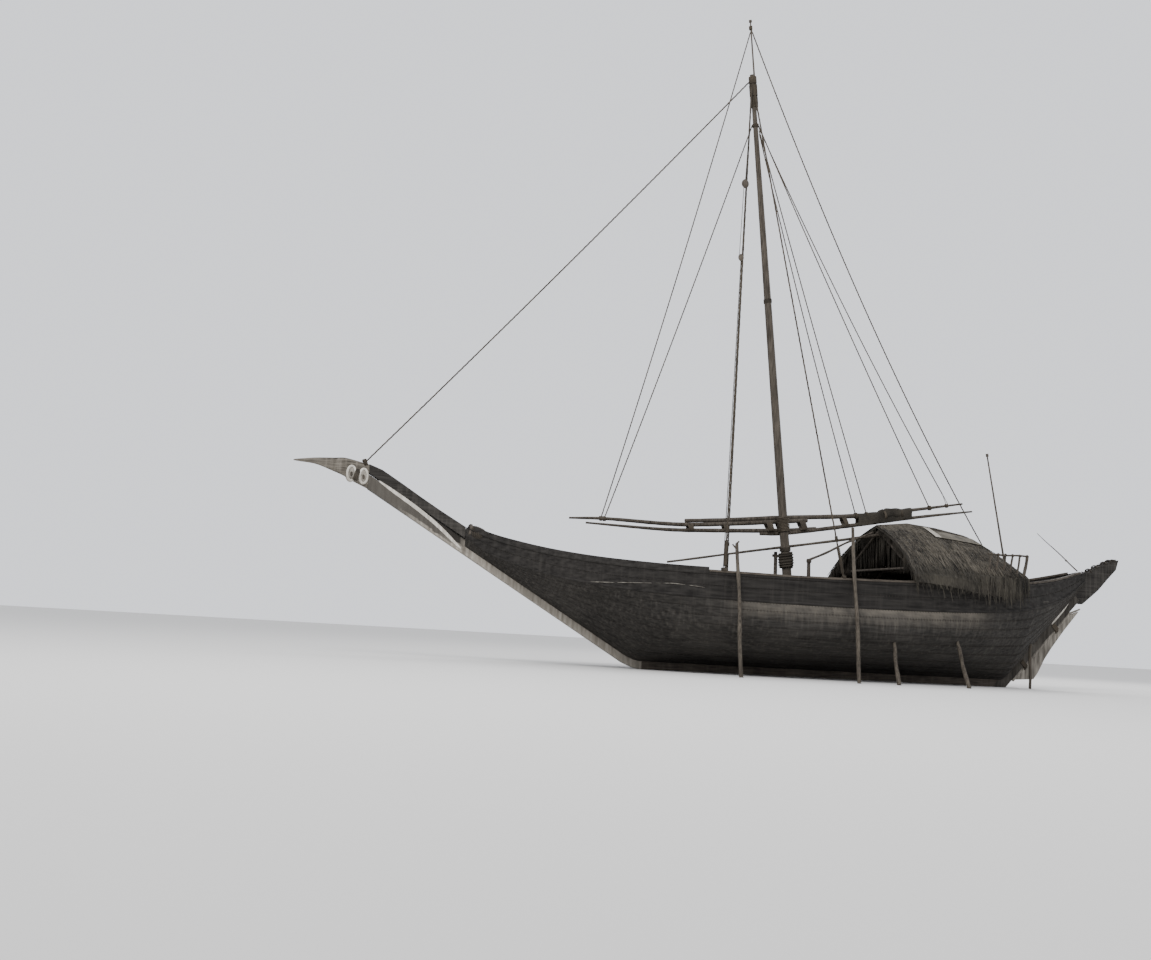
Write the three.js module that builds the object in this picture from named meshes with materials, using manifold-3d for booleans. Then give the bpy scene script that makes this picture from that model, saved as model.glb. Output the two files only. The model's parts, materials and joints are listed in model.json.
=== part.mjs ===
// Sewn coasting sailing boat of the mtepe kind, beached on its keel between shoring poles.
// Millimetres. The bow points to -X, port is -Y, +Z is up, and z = 0 is the ground under the keel.
// x = 0 is half way between the prow tip and the stern tip.
import * as THREE from "three";
import { mergeVertices } from "three/addons/utils/BufferGeometryUtils.js";
import Module from "manifold-3d";

const wasm = await Module();
wasm.setup();

const GAP = 0.3; // clearance between pieces that rest on each other
const HULL_CLEAR = 0.8; // clearance of ribs, beams and decks from the planking
const FINEST = 0.1; // edges shorter than this are closed up after a cut

// Keel, stem and sternpost
const FOREFOOT_X = -2655; // where the straight keel turns up into the stem
const HEEL_X = 8275; // where the planking meets the sternpost
const KEEL_DEPTH = 340;
const TIMBER_HALF = 110; // half the thickness of keel, stem and sternpost
const RABBET_Z = 200; // height on the keel where the planking starts
const STEM_SLOPE = 0.575; // rise of the stem for each unit forward
const STEM_DROP = 150; // how far the straight stem line passes below the forefoot
const STEM_DEPTH = 400; // measured straight up
const STEM_HEAD_X = -10170;
const POST_SLOPE = 1.088; // rise of the sternpost for each unit aft
const POST_OUT = 270; // horizontal depth of the sternpost behind the planking
const POST_IN = 160; // horizontal depth of the sternpost inside the planking
const POST_TOP_X = 10860;

// Planking
const PLANK = 55;
const LEVELS = [0, 0.07, 0.2, 0.42, 0.72, 1]; // heights up a section, as shares of keel to wale
const BOTTOM_LEVELS = 3; // the bottom planking ends at this entry of LEVELS
const WIDEST = 0.74; // share of the height at which a section is widest
const STRAKE_SET_IN = 12; // the wash strake stands this far inside the wale's edge
const BULWARK_HEIGHT = 120;
const BULWARK_FORE_X = -7400;
const BULWARK_AFT_X = -1770;
const STRAKE_LIP = 1; // height of the strake above the sheer where it carries the rail
const RAIL_WIDTH = 120;
const RAIL_DEPTH = 55;
const RAIL_AFT_X = 10600;

// The lines of the hull, bow to stern
// x, wale height, sheer height, half beam, fullness 0..1, tumblehome share
const LINES = [
  [-7600, 3120, 3380, 205, 0.0, 0.0],
  [-7000, 2720, 3150, 400, 0.0, 0.0],
  [-6200, 2420, 2950, 780, 0.1, 0.0],
  [-5400, 2220, 2800, 1180, 0.2, 0.0],
  [-4500, 2080, 2690, 1600, 0.35, 0.0],
  [-3500, 1980, 2620, 2000, 0.55, 0.0],
  [-2500, 1930, 2585, 2290, 0.75, 0.01],
  [-1000, 1890, 2575, 2570, 0.92, 0.03],
  [500, 1880, 2570, 2720, 1.0, 0.05],
  [2000, 1890, 2600, 2760, 1.0, 0.06],
  [3500, 1910, 2640, 2680, 1.0, 0.06],
  [5000, 1950, 2710, 2460, 0.92, 0.05],
  [6500, 2020, 2790, 2080, 0.75, 0.04],
  [7800, 2130, 2880, 1620, 0.5, 0.02],
  [8800, 2290, 3000, 1190, 0.3, 0.0],
  [9600, 2520, 3140, 820, 0.15, 0.0],
  [10300, 2840, 3310, 480, 0.0, 0.0],
  [10850, 3190, 3460, 215, 0.0, 0.0],
];
const BETWEEN = 2; // stations faired in for each row of the lines

// Prow: outline of the beaked head, x and z
const HEAD_OUTLINE = [
  [-12075, 4750],
  [-11525, 4690],
  [-11045, 4540],
  [-10705, 4430],
  [-10575, 4340],
  [-10170.3, 4172],
  [-10170.3, 4797],
  [-10700, 4905],
  [-10815, 4920],
  [-11485, 4860],
];
const HEAD_HALF = 95;
// The oval bosses on the head: x, z, half length, half height
const BOSSES = [
  [-10614, 4528, 125, 205],
  [-10305, 4480, 122, 205],
];
const BOSS_PROUD = 25;
// Top line of the neck behind the head: x, z, half width
const NECK = [
  [-10170, 4797, 93],
  [-9835, 4680, 100],
  [-9345, 4395, 110],
  [-8835, 4085, 125],
  [-8265, 3750, 150],
  [-7610, 3390, 185],
];
// Stern head: outline behind the planking, x and z
const STERN_OUTLINE = [
  [10570, 2790],
  [10850, 2520],
  [11060, 2690],
  [11386, 2960],
  [11708, 3310],
  [11990, 3600],
  [12075, 3890],
  [11850, 3840],
  [11556, 3730],
  [11267, 3600],
  [11060, 3470],
  [10890, 3440],
  [10880, 3120],
];

// Spars
const MAST_HEEL = [1722, 0, 620];
const MAST_RAKE = 0.1197; // radians forward
const MAST_LENGTH = 16310;
const MAST_RADII = [135, 128, 100, 58]; // heel, partners, two thirds up, head
const MAST_HEIGHTS = [0, 2200, 9800, MAST_LENGTH];
const SPAR_SIDES = 12;
const TOPMAST_RADIUS = 30;
const TOPMAST_FROM = 15300;
const TOPMAST_SIDE = [-0.934, 0.358]; // the pole is lashed to this side of the mast: forward, starboard
const TOPMAST_TO = 17930;
const COLLAR_RADIUS = 105; // rope served round the masthead
const COLLAR_FROM = 15450;
const COLLAR_TO = 16250;

// Stays run from the masthead serving to the head of the prow or to a rail, and the backstay
// from the pole: name, foot x, side (-1 port), radius, carrier
const STAYS = [
  ["forestay", -10300, 0, 22, "prow_head"],
  ["shroud_port_fore", -1360, -1, 24, "gunwale_rail_port"],
  ["shroud_port_aft", 1870, -1, 24, "gunwale_rail_port"],
  ["shroud_starboard_fore", 730, 1, 24, "gunwale_rail_starboard"],
  ["shroud_starboard_aft", 2680, 1, 24, "gunwale_rail_starboard"],
  ["backstay", 8970, 1, 20, "gunwale_rail_starboard"],
];
const FORESTAY_FOOT_Z = 4815;
const BACKSTAY_BELOW_TIP = 230;
const BACKSTAY_OFF_POLE = 92.5; // from the middle of the pole, along the rope

// Frames, beams and decks
const FRAME_PLACES = [-2500, -640, 700, 2450, 3600, 5600]; // the last stands under the poop deck
const RIB = 110;
const RIB_TOP_Z = 2500;
const FLOOR_HALF = 900;
const FLOOR_TOP = KEEL_DEPTH + 170;
const KEELSON_HALF = 90;
const KEELSON_LOW = KEEL_DEPTH + 60;
const KEELSON_TOP = KEEL_DEPTH + 200;
const KEELSON_FROM = -2600;
const KEELSON_TO = 7000;
// The mast step on the keelson
const STEP_FROM = 1350;
const STEP_TO = 2100;
const STEP_HALF = 190;
const STEP_TOP = 760;
// Cross beams: x and half width. The third carries the mast bitts.
const BEAMS = [
  [-3250, 85],
  [-900, 85],
  [1880, 110],
  [3050, 85],
];
const BEAM_DEPTH = 180;
const POOP_FROM = 4000;
const POOP_TO = 9880;
const POOP_Z = 2060;
const FORE_DECK_FROM = -5900;
const FORE_DECK_TO = -4000;
const FORE_DECK_Z = 2200;
const DECK_THICK = 50;

// House
const THATCH = 130;
const THATCH_HEAP = 1.35; // how far the slope bulges, as a share of the thickness
const HEAP_SHARES = [0.78, 0.52, 0.26]; // corners of the bulge, as shares of the way down the slope
// The roof, front to back: ridge x, ridge z, eave x, how far the eave hangs below the sheer,
// thickness as a share of THATCH
const ROOF = [
  [4150, 4350, 3950, -60, 1],
  [5100, 4470, 5050, 60, 1],
  [6000, 4400, 6050, 240, 1],
  [6900, 4260, 6950, 320, 1],
  [7550, 3870, 7600, 300, 0.8],
  [8050, 3450, 8000, 180, 0.5],
].map(([x, z, eaveX, hang, share]) => ({ x, z, eaveX, hang, thick: share * THATCH }));
const RAFTERS = [4230, 5300, 6400]; // x of each pair
const RAFTER_RADII = [42, 38];
const RAFTER_DROP = 170; // from the top of the ridge to the rafters' heads
const TIE_RADIUS = 34;
const TIE_ABOVE_SHEER = 420;
const RIDGE_POLE = [
  [4200, 0, 4150],
  [5300, 0, 4280],
  [6430, 0, 4130],
];
const RIDGE_POLE_RADIUS = 40;

// Yard and boom at rest: x, z, radius
const YARD = [
  [-4785, 3870, 28],
  [-3805, 3925, 48],
  [-1725, 3930, 62],
  [-305, 4070, 68],
  [1305, 4270, 72],
  [3785, 4600, 66],
  [5500, 4905, 50],
  [7005, 5190, 28],
];
const BOOM = [
  [-4305, 3780, 28],
  [-2195, 3765, 48],
  [-1315, 3800, 56],
  [1345, 4000, 64],
  [3175, 4260, 60],
  [5500, 4680, 48],
  [7315, 4990, 26],
];
// Mats rolled round the yard over the house: x, underside, top, half width
const MAT_BUNDLE = [
  [4200, 4470, 4765, 90],
  [4450, 4505, 4840, 115],
  [4750, 4560, 4895, 130],
  [5050, 4610, 4908, 112],
  [5300, 4655, 4935, 85],
];
const YARD_SIDE = 222; // the spars hang on the starboard side of the mast
const PARREL_FROM = 3330; // rope round mast and spars, as lengths up the mast
const PARREL_TO = 3760;
const RUNNING_GAP = 0.6; // between a turning ring and what it turns on
const PARREL_THICK = 36;
const LIFT_AT = 14800; // the grommet that carries the lifts turns on the mast here
const LIFT_FEET = [-3805, 5935];
const LIFT_RADIUS = 16;
const LIFT_RING = 30; // thickness of the grommet

// Rudder, in a frame along the sternpost
const STOCK = 55;
const STOCK_OUT = 67; // from the sternpost's back to the turning axis
const STOCK_FROM = 350;
const STOCK_TO = 3040;
const BLADE_HALF = 34;
const BLADE_EDGE = [
  [9305, 270],
  [9455, 470],
  [9665, 870],
  [9885, 1190],
  [10300, 1725],
  [10790, 2300],
];
const LASHINGS = [900, 2400];
const LASHING_HALF = 60;
const LASHING_THICK = 28;
// Tiller on the head of the blade: its ends and their radii
const TILLER = [
  [10445, 0, 2205],
  [10850, 0, 2372],
];
const TILLER_RADII = [34, 24];

// Shoring poles: foot x, foot y, head x, head z, radius, reaches over the rail.
// Those that do stand on both sides, the short ones under the bilge on the port side.
const SHORES = [
  ["shore_1_port", -1120, 3200, -1050, 3340, 48, true],
  ["shore_1_starboard", -1120, 3200, -1050, 1650, 48, false],
  ["shore_2_port", 2030, 3300, 2200, 3980, 50, true],
  ["shore_2_starboard", 2030, 3300, 2200, 1650, 50, false],
  ["shore_3_port", 3230, 3150, 3420, 1140, 44, false],
  ["shore_4_port", 5380, 2950, 5500, 1250, 44, false],
  ["shore_5_port", 8890, 480, 8830, 1300, 36, false],
];

// Rail on each quarter: its ends as x, y and z, and the x of its posts' heads
const QUARTER_RAIL = [
  [6500, 1960, 3620],
  [8060, 1490, 3672],
];
const QUARTER_POSTS = [6600, 6880, 7160, 7440, 7720, 8020];
const POST_LEAN = 150; // a post's foot is this far forward of its head
const POST_RADII = [32, 27];
const END_POST_RADII = [48, 42];
const QUARTER_RAIL_RADIUS = 28;
// Long pole lashed to the mast, from the gable forward over the hold
const SPARE_POLE = [
  [4290, 0, 4075],
  [-1925, 330, 2900],
];
const SPARE_POLE_RADII = [38, 26];
// Bitts on the mast beam: foot and head of each post, ends of the bar from the fore post to the mast
const BITT_POSTS = [
  [[1280, 330, POOP_Z - 20], [1250, 330, 3400]],
  [[1975, -330, POOP_Z - 20], [1945, -330, 3230]],
];
const BITT_RADII = [60, 50];
const BITT_BAR = [[1160, 330, 3290], [1560, 300, 3270]];
const BITT_BAR_RADIUS = 40;
// Timbers under the posts: x from and to, y from and to
const BITT_BEDS = [
  [1205, 2060, -400, -260],
  [1205, 1330, -400, 400],
];
const BITT_BED_DEPTH = 120;
const BELOW_BITTS = [1000, 2600, -600, 600, POOP_Z - 400, POOP_Z]; // where the feet are cut level
// Staff on the poop, with a knob at its head
const FLAGSTAFF = [[8620, 0, 2000], [7635, 0, 6650]];
const FLAGSTAFF_RADII = [34, 20];
const STAFF_KNOB = [[7650, 0, 6600], [7630, 0, 6690]];
const STAFF_KNOB_RADIUS = 40;

const COLOURS = {
  hull: ["#3a322b", 0.85],
  strake: ["#2b2622", 0.9],
  pale: ["#b9ad98", 0.85],
  timber: ["#5b4d3f", 0.85],
  spar: ["#6d604f", 0.8],
  pole: ["#8a7a63", 0.85],
  thatch: ["#6f6453", 0.95],
  rope: ["#80705a", 0.95],
  mat: ["#8f826c", 0.95],
};

const boat = new THREE.Group();
boat.name = "sewn_boat";
const solids = {};

function material(kind) {
  const [color, roughness] = COLOURS[kind];
  return new THREE.MeshStandardMaterial({ color, roughness, metalness: 0 });
}

// Adds a solid to the boat as a named mesh and remembers it for later cuts.
function add(name, solid, kind) {
  const { numProp, vertProperties, triVerts } = solid.getMesh();
  const place = new Float32Array((vertProperties.length / numProp) * 3);
  for (let i = 0; i < place.length / 3; i++) {
    place.set(vertProperties.subarray(i * numProp, i * numProp + 3), i * 3);
  }
  const geometry = new THREE.BufferGeometry();
  geometry.setAttribute("position", new THREE.BufferAttribute(place, 3));
  geometry.setIndex(new THREE.BufferAttribute(new Uint32Array(triVerts), 1));
  const mesh = new THREE.Mesh(geometry, material(kind));
  mesh.name = name;
  boat.add(mesh);
  solids[name] = solid;
  return mesh;
}

// A three.js geometry as a solid.
function toSolid(geometry, matrix) {
  const bare = geometry.index ? geometry.toNonIndexed() : geometry.clone();
  bare.deleteAttribute("normal");
  bare.deleteAttribute("uv");
  if (matrix) bare.applyMatrix4(matrix);
  const merged = mergeVertices(bare, 1e-3);
  return new wasm.Manifold(
    new wasm.Mesh({
      numProp: 3,
      vertProperties: merged.getAttribute("position").array,
      triVerts: new Uint32Array(merged.index.array),
    }),
  );
}

// A closed solid from its points and its faces.
function fromFaces(points, faces) {
  const geometry = new THREE.BufferGeometry();
  geometry.setAttribute("position", new THREE.Float32BufferAttribute(points.flat(), 3));
  geometry.setIndex(faces.flat());
  const solid = toSolid(geometry);
  if (solid.volume() > 0) return solid;
  geometry.setIndex(faces.map(([a, b, c]) => [a, c, b]).flat());
  return toSolid(geometry);
}

// A loft through closed convex rings that all have the same number of points.
function loft(rings) {
  const n = rings[0].length;
  const faces = [];
  for (let r = 0; r + 1 < rings.length; r++) {
    for (let i = 0; i < n; i++) {
      const a = r * n + i;
      const b = r * n + ((i + 1) % n);
      faces.push([a, b, b + n], [a, b + n, a + n]);
    }
  }
  const last = (rings.length - 1) * n;
  for (let i = 1; i + 1 < n; i++) {
    faces.push([0, i + 1, i], [last, last + i, last + i + 1]);
  }
  return fromFaces(rings.flat(), faces);
}

// A panel with thickness: two grids of the same size, outside and inside.
function shell(outside, inside) {
  const rows = outside.length;
  const columns = outside[0].length;
  const offset = rows * columns;
  const at = (r, c) => r * columns + c;
  const faces = [];
  for (let r = 0; r + 1 < rows; r++) {
    for (let c = 0; c + 1 < columns; c++) {
      const [p, q, s, t] = [at(r, c), at(r, c + 1), at(r + 1, c + 1), at(r + 1, c)];
      faces.push([p, q, s], [p, s, t]);
      faces.push([p + offset, s + offset, q + offset], [p + offset, t + offset, s + offset]);
    }
  }
  const border = [];
  for (let c = 0; c + 1 < columns; c++) border.push([at(0, c + 1), at(0, c)]);
  for (let r = 0; r + 1 < rows; r++) border.push([at(r, 0), at(r + 1, 0)]);
  for (let c = 0; c + 1 < columns; c++) border.push([at(rows - 1, c), at(rows - 1, c + 1)]);
  for (let r = 0; r + 1 < rows; r++) border.push([at(r + 1, columns - 1), at(r, columns - 1)]);
  for (const [a, b] of border) faces.push([a, b, b + offset], [a, b + offset, a + offset]);
  return fromFaces([...outside.flat(), ...inside.flat()], faces);
}

function box(x0, x1, y0, y1, z0, z1) {
  const geometry = new THREE.BoxGeometry(x1 - x0, y1 - y0, z1 - z0);
  geometry.translate((x0 + x1) / 2, (y0 + y1) / 2, (z0 + z1) / 2);
  return toSolid(geometry);
}

// A round bar between two points, with a radius at each end.
function bar(from, to, r0, r1 = r0, sides = 8) {
  const a = new THREE.Vector3(...from);
  const b = new THREE.Vector3(...to);
  const way = b.clone().sub(a);
  const geometry = new THREE.CylinderGeometry(r1, r0, way.length(), sides);
  const turn = new THREE.Quaternion().setFromUnitVectors(
    new THREE.Vector3(0, 1, 0),
    way.clone().normalize(),
  );
  const matrix = new THREE.Matrix4().compose(
    a.add(b).multiplyScalar(0.5),
    turn,
    new THREE.Vector3(1, 1, 1),
  );
  return toSolid(geometry, matrix);
}

// A flat outline in x and z, thick in y.
function plate(outline, y0, y1) {
  const shape = new THREE.Shape(outline.map(([x, z]) => new THREE.Vector2(x, z)));
  const geometry = new THREE.ExtrudeGeometry(shape, { depth: y1 - y0, bevelEnabled: false });
  geometry.rotateX(Math.PI / 2);
  geometry.translate(0, y1, 0);
  return toSolid(geometry);
}

function largest(solid) {
  return solid
    .simplify(FINEST)
    .decompose()
    .sort((a, b) => b.volume() - a.volume())[0];
}

function join(...list) {
  return list.reduce((a, b) => a.add(b));
}

const mirrored = (solid) => solid.mirror([0, 1, 0]);

// A solid whose every face is moved out by the clearance, to cut its neighbours with.
function grown(solid) {
  const { vertProperties, triVerts } = solid.getMesh();
  const point = (i) => new THREE.Vector3().fromArray(vertProperties, i * 3);
  const sums = Array.from({ length: vertProperties.length / 3 }, () => ({ normals: [] }));
  for (let t = 0; t < triVerts.length; t += 3) {
    const [a, b, c] = [point(triVerts[t]), point(triVerts[t + 1]), point(triVerts[t + 2])];
    const normal = b.sub(a).cross(c.sub(a)).normalize();
    for (let k = 0; k < 3; k++) sums[triVerts[t + k]].normals.push(normal);
  }
  const moved = new Float32Array(vertProperties);
  sums.forEach(({ normals }, i) => {
    const shift = shiftFor(normals);
    moved.set(point(i).add(shift).toArray(), i * 3);
  });
  const mesh = new wasm.Mesh({ numProp: 3, vertProperties: moved, triVerts });
  return new wasm.Manifold(mesh);
}

// The move of a corner that carries each face beside it out by the clearance (least squares).
function shiftFor(normals) {
  const [xx, xy, xz, yy, yz, zz] = [0, 0, 0, 0, 0, 0].map((_, k) =>
    normals.reduce((sum, n) => sum + [n.x * n.x, n.x * n.y, n.x * n.z, n.y * n.y, n.y * n.z, n.z * n.z][k], 0),
  );
  const floor = 1e-5 * normals.length; // keeps the flat case solvable
  const matrix = new THREE.Matrix3().set(
    xx + floor, xy, xz,
    xy, yy + floor, yz,
    xz, yz, zz + floor,
  );
  const right = normals.reduce((sum, n) => sum.addScaledVector(n, GAP), new THREE.Vector3());
  return right.applyMatrix3(matrix.invert()).clampLength(0, GAP * 4);
}

// The largest piece of a solid that is left clear of its neighbours.
function clearOf(solid, ...neighbours) {
  return largest(neighbours.reduce((rest, other) => rest.subtract(grown(other)), solid));
}

// Height of the stem's lower edge at x.
function stemEdge(x) {
  const ahead = FOREFOOT_X - x;
  const blend = (2 * STEM_DROP) / STEM_SLOPE;
  if (ahead <= 0) return 0;
  if (ahead < blend) return (STEM_SLOPE / (2 * blend)) * ahead * ahead;
  return STEM_SLOPE * ahead - STEM_DROP;
}

// Height at which the planking leaves the centre timber at x.
function rabbet(x) {
  if (x < FOREFOOT_X) return RABBET_Z + stemEdge(x);
  return Math.max(RABBET_Z, 220 + POST_SLOPE * (x - HEEL_X));
}

// A smooth value between four rows of the lines (b to c), from the slopes at b and c.
function faired(rows, column, t) {
  const [a, b, c, d] = rows;
  const slope = (p, q) => (q[column] - p[column]) / (q[0] - p[0] || 1);
  const run = c[0] - b[0];
  const atB = a === b ? slope(b, c) : slope(a, c);
  const atC = c === d ? slope(b, c) : slope(b, d);
  const [t2, t3] = [t * t, t * t * t];
  return (
    b[column] * (2 * t3 - 3 * t2 + 1) +
    c[column] * (3 * t2 - 2 * t3) +
    run * (atB * (t3 - 2 * t2 + t) + atC * (t3 - t2))
  );
}

// The stations: the rows of the lines and those faired in between them.
function makeStations() {
  const stations = [];
  for (let i = 0; i + 1 < LINES.length; i++) {
    const rows = [LINES[Math.max(i - 1, 0)], LINES[i], LINES[i + 1], LINES[Math.min(i + 2, LINES.length - 1)]];
    for (let k = 0; k < BETWEEN; k++) {
      const t = k / BETWEEN;
      const x = LINES[i][0] + (LINES[i + 1][0] - LINES[i][0]) * t;
      stations.push([x, ...[1, 2, 3, 4, 5].map((column) => faired(rows, column, t))]);
    }
  }
  stations.push(LINES[LINES.length - 1]);
  return stations.map(([x, wale, sheer, beam, full, tumble]) => ({ x, wale, sheer, beam, full, tumble }));
}

const STATIONS = makeStations();

// A station between two of the stations.
function stationAt(x) {
  let i = STATIONS.findIndex((s) => s.x >= x);
  if (i < 0) i = STATIONS.length - 1;
  if (i === 0) i = 1;
  const [a, b] = [STATIONS[i - 1], STATIONS[i]];
  const t = (x - a.x) / (b.x - a.x);
  const mix = (key) => a[key] + (b[key] - a[key]) * t;
  return {
    x,
    wale: mix("wale"),
    sheer: mix("sheer"),
    beam: mix("beam"),
    full: mix("full"),
    tumble: mix("tumble"),
  };
}

// Half breadth of a section at a share of the height from rabbet to wale.
function breadth(s, share) {
  const low = Math.min(share / WIDEST, 1);
  const high = Math.max((share - WIDEST) / (1 - WIDEST), 0);
  const round = 1 - (1 - low) ** 2.4 - s.tumble * high * high;
  const sharp = share ** 1.05;
  const start = TIMBER_HALF + GAP;
  return start + (s.beam - start) * (s.full * round + (1 - s.full) * sharp);
}

// One side's outside line of a section, from the rabbet to the wale, as y and z.
function outsideLine(s) {
  const bottom = rabbet(s.x);
  return LEVELS.map((share) => [breadth(s, share), bottom + (s.wale - bottom) * share]);
}

// The same line moved in by the plank's thickness.
function insideLine(s, depth) {
  const line = outsideLine(s);
  return line.map(([y, z], i) => {
    const after = line[Math.min(i + 1, line.length - 1)];
    const most = (after[1] - z) * 0.8;
    if (i === 0) return [TIMBER_HALF + GAP, z + Math.min(depth * 1.1, most)];
    const before = line[i - 1];
    const along = new THREE.Vector2(after[0] - before[0], after[1] - before[1]).normalize();
    const inY = y - along.y * depth;
    return [Math.max(inY, TIMBER_HALF + GAP), z + Math.min(along.x * depth, most)];
  });
}

// Keel, stem and sternpost

function buildKeel() {
  const end = HEEL_X - RABBET_Z / POST_SLOPE - POST_IN - 2 * GAP;
  const outline = [
    [FOREFOOT_X + GAP, 0],
    [end - 20, 0],
    [end - 20 + KEEL_DEPTH / POST_SLOPE, KEEL_DEPTH],
    [FOREFOOT_X + GAP, KEEL_DEPTH],
  ];
  add("keel", plate(outline, -TIMBER_HALF, TIMBER_HALF), "timber");
}

function buildStem() {
  const steps = 12;
  const reach = FOREFOOT_X - STEM_HEAD_X;
  const lower = [];
  const upper = [];
  for (let i = 0; i <= steps; i++) {
    const share = i / steps;
    const x = FOREFOOT_X - reach * share ** 1.5;
    lower.push([x, stemEdge(x)]);
    upper.push([x, stemEdge(x) + STEM_DEPTH - 40 * share]);
  }
  add("stem", plate([...lower, ...upper.reverse()], -TIMBER_HALF, TIMBER_HALF), "pale");
}

// The sternpost before the stern head is let into it.
function postSolid() {
  const top = 220 + POST_SLOPE * (POST_TOP_X - HEEL_X);
  const foot = HEEL_X - 220 / POST_SLOPE;
  const outline = [
    [foot - POST_IN, 0],
    [foot + POST_OUT, 0],
    [POST_TOP_X + POST_OUT, top],
    [POST_TOP_X - POST_IN, top],
  ];
  return plate(outline, -TIMBER_HALF, TIMBER_HALF);
}

function buildSternpost() {
  const head = plate(STERN_OUTLINE, -TIMBER_HALF * 2, TIMBER_HALF * 2);
  const post = postSolid().subtract(head);
  add("sternpost", largest(post), "pale");
  const shape = plate(STERN_OUTLINE, -TIMBER_HALF, TIMBER_HALF).translate([2 * GAP, 0, 0]);
  add("stern_head", shape, "hull");
}

function buildProw() {
  const rings = NECK.map(([x, top, half]) => {
    const bottom = stemEdge(x) + STEM_DEPTH + GAP;
    return [
      [x, -half, bottom],
      [x, half, bottom],
      [x, half * 0.85, top],
      [x, -half * 0.85, top],
    ];
  });
  add("prow_neck", loft(rings), "hull");
  const side = HEAD_HALF + BOSS_PROUD;
  const ovals = BOSSES.map(([x, z, halfLength, halfHeight]) => {
    const outline = Array.from({ length: 16 }, (_, i) => {
      const angle = (i / 16) * 2 * Math.PI;
      return [x + halfLength * Math.cos(angle), z + halfHeight * Math.sin(angle)];
    });
    return plate(outline, -side, side);
  });
  add("prow_head", join(plate(HEAD_OUTLINE, -HEAD_HALF, HEAD_HALF), ...ovals), "pale");
}

// Planking

function buildPlanking() {
  const seam = LEVELS.length - BOTTOM_LEVELS;
  const grids = { outside: [], inside: [] };
  for (const s of STATIONS) {
    grids.outside.push(outsideLine(s).map(([y, z]) => [s.x, -y, z]));
    grids.inside.push(insideLine(s, PLANK).map(([y, z]) => [s.x, -y, z]));
  }
  const part = (grid, from, to) =>
    grid.map((row) =>
      row.slice(from, to).map(([x, y, z], i, cut) => {
        const low = i === 0 && from > 0 ? GAP : 0;
        const high = i === cut.length - 1 ? GAP : 0;
        return [x, y, z + low - high];
      }),
    );
  const ranges = {
    bottom_planking: [0, BOTTOM_LEVELS + 1],
    side_planking: [BOTTOM_LEVELS, BOTTOM_LEVELS + seam],
  };
  for (const [name, [from, to]] of Object.entries(ranges)) {
    let port = shell(part(grids.outside, from, to), part(grids.inside, from, to));
    if (from > 0) port = clearOf(port, solids.bottom_planking_port);
    add(name + "_port", port, "hull");
    add(name + "_starboard", mirrored(port), "hull");
  }
}

// Outside half breadth of the wash strake at a station.
function strakeY(s) {
  return breadth(s, 1) - STRAKE_SET_IN;
}

// The wash strake, with the bulwark that stands on it forward.
function buildStrakes() {
  const ring = (x, above) => {
    const s = stationAt(x);
    const y = strakeY(s);
    return [
      [x, -y, s.wale + GAP],
      [x, -y - 8, s.sheer],
      [x, -y - 8, s.sheer + above],
      [x, -y + PLANK - 8, s.sheer + above],
      [x, -y + PLANK - 8, s.sheer],
      [x, -y + PLANK, s.wale + GAP],
    ];
  };
  const xs = STATIONS.map((s) => s.x);
  const bulwark = [BULWARK_FORE_X, ...xs.filter((x) => x > BULWARK_FORE_X && x < BULWARK_AFT_X)];
  const rings = [
    ring(xs[0], STRAKE_LIP),
    ring(BULWARK_FORE_X - 1, STRAKE_LIP),
    ...bulwark.map((x) => ring(x, BULWARK_HEIGHT)),
    ring(BULWARK_AFT_X - 1, BULWARK_HEIGHT),
    ...[BULWARK_AFT_X, ...xs.filter((x) => x > BULWARK_AFT_X)].map((x) => ring(x, STRAKE_LIP)),
  ];
  const port = clearOf(loft(rings), solids.side_planking_port);
  add("wash_strake_port", port, "strake");
  add("wash_strake_starboard", mirrored(port), "strake");
}

function buildRails() {
  const over = (RAIL_WIDTH - PLANK) / 2;
  const ring = (x) => {
    const s = stationAt(x);
    const y = strakeY(s) + 8;
    const [low, high] = [s.sheer + STRAKE_LIP + GAP, s.sheer + RAIL_DEPTH];
    return [
      [x, -y - over, low],
      [x, -y - over, high],
      [x, -y + PLANK + over, high],
      [x, -y + PLANK + over, low],
    ];
  };
  const from = BULWARK_AFT_X + 2 * GAP;
  const between = STATIONS.map((s) => s.x).filter((x) => x > from && x < RAIL_AFT_X);
  const rail = loft([from, ...between, RAIL_AFT_X].map(ring));
  add("gunwale_rail_port", rail, "timber");
  add("gunwale_rail_starboard", mirrored(rail), "timber");
}

// The space inside the planking as one solid, drawn in by a depth.
function hold(depth) {
  const rings = STATIONS.map((s) => {
    const wall = strakeY(s) - PLANK - depth;
    const line = insideLine(s, PLANK + depth);
    line[line.length - 1][0] = Math.min(wall, line[line.length - 1][0]);
    const half = [...line, [wall, s.sheer]].map(([y, z]) => [s.x, Math.min(-y, -20), z]);
    return [...half, [s.x, 1, s.sheer], [s.x, 1, line[0][1]]];
  });
  const port = loft(rings);
  return join(port, mirrored(port));
}

// A solid cut to lie inside the planking.
function insideOfHull(solid) {
  return clearOf(solid.intersect(hold(HULL_CLEAR)), solids.stem, postSolid());
}

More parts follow.
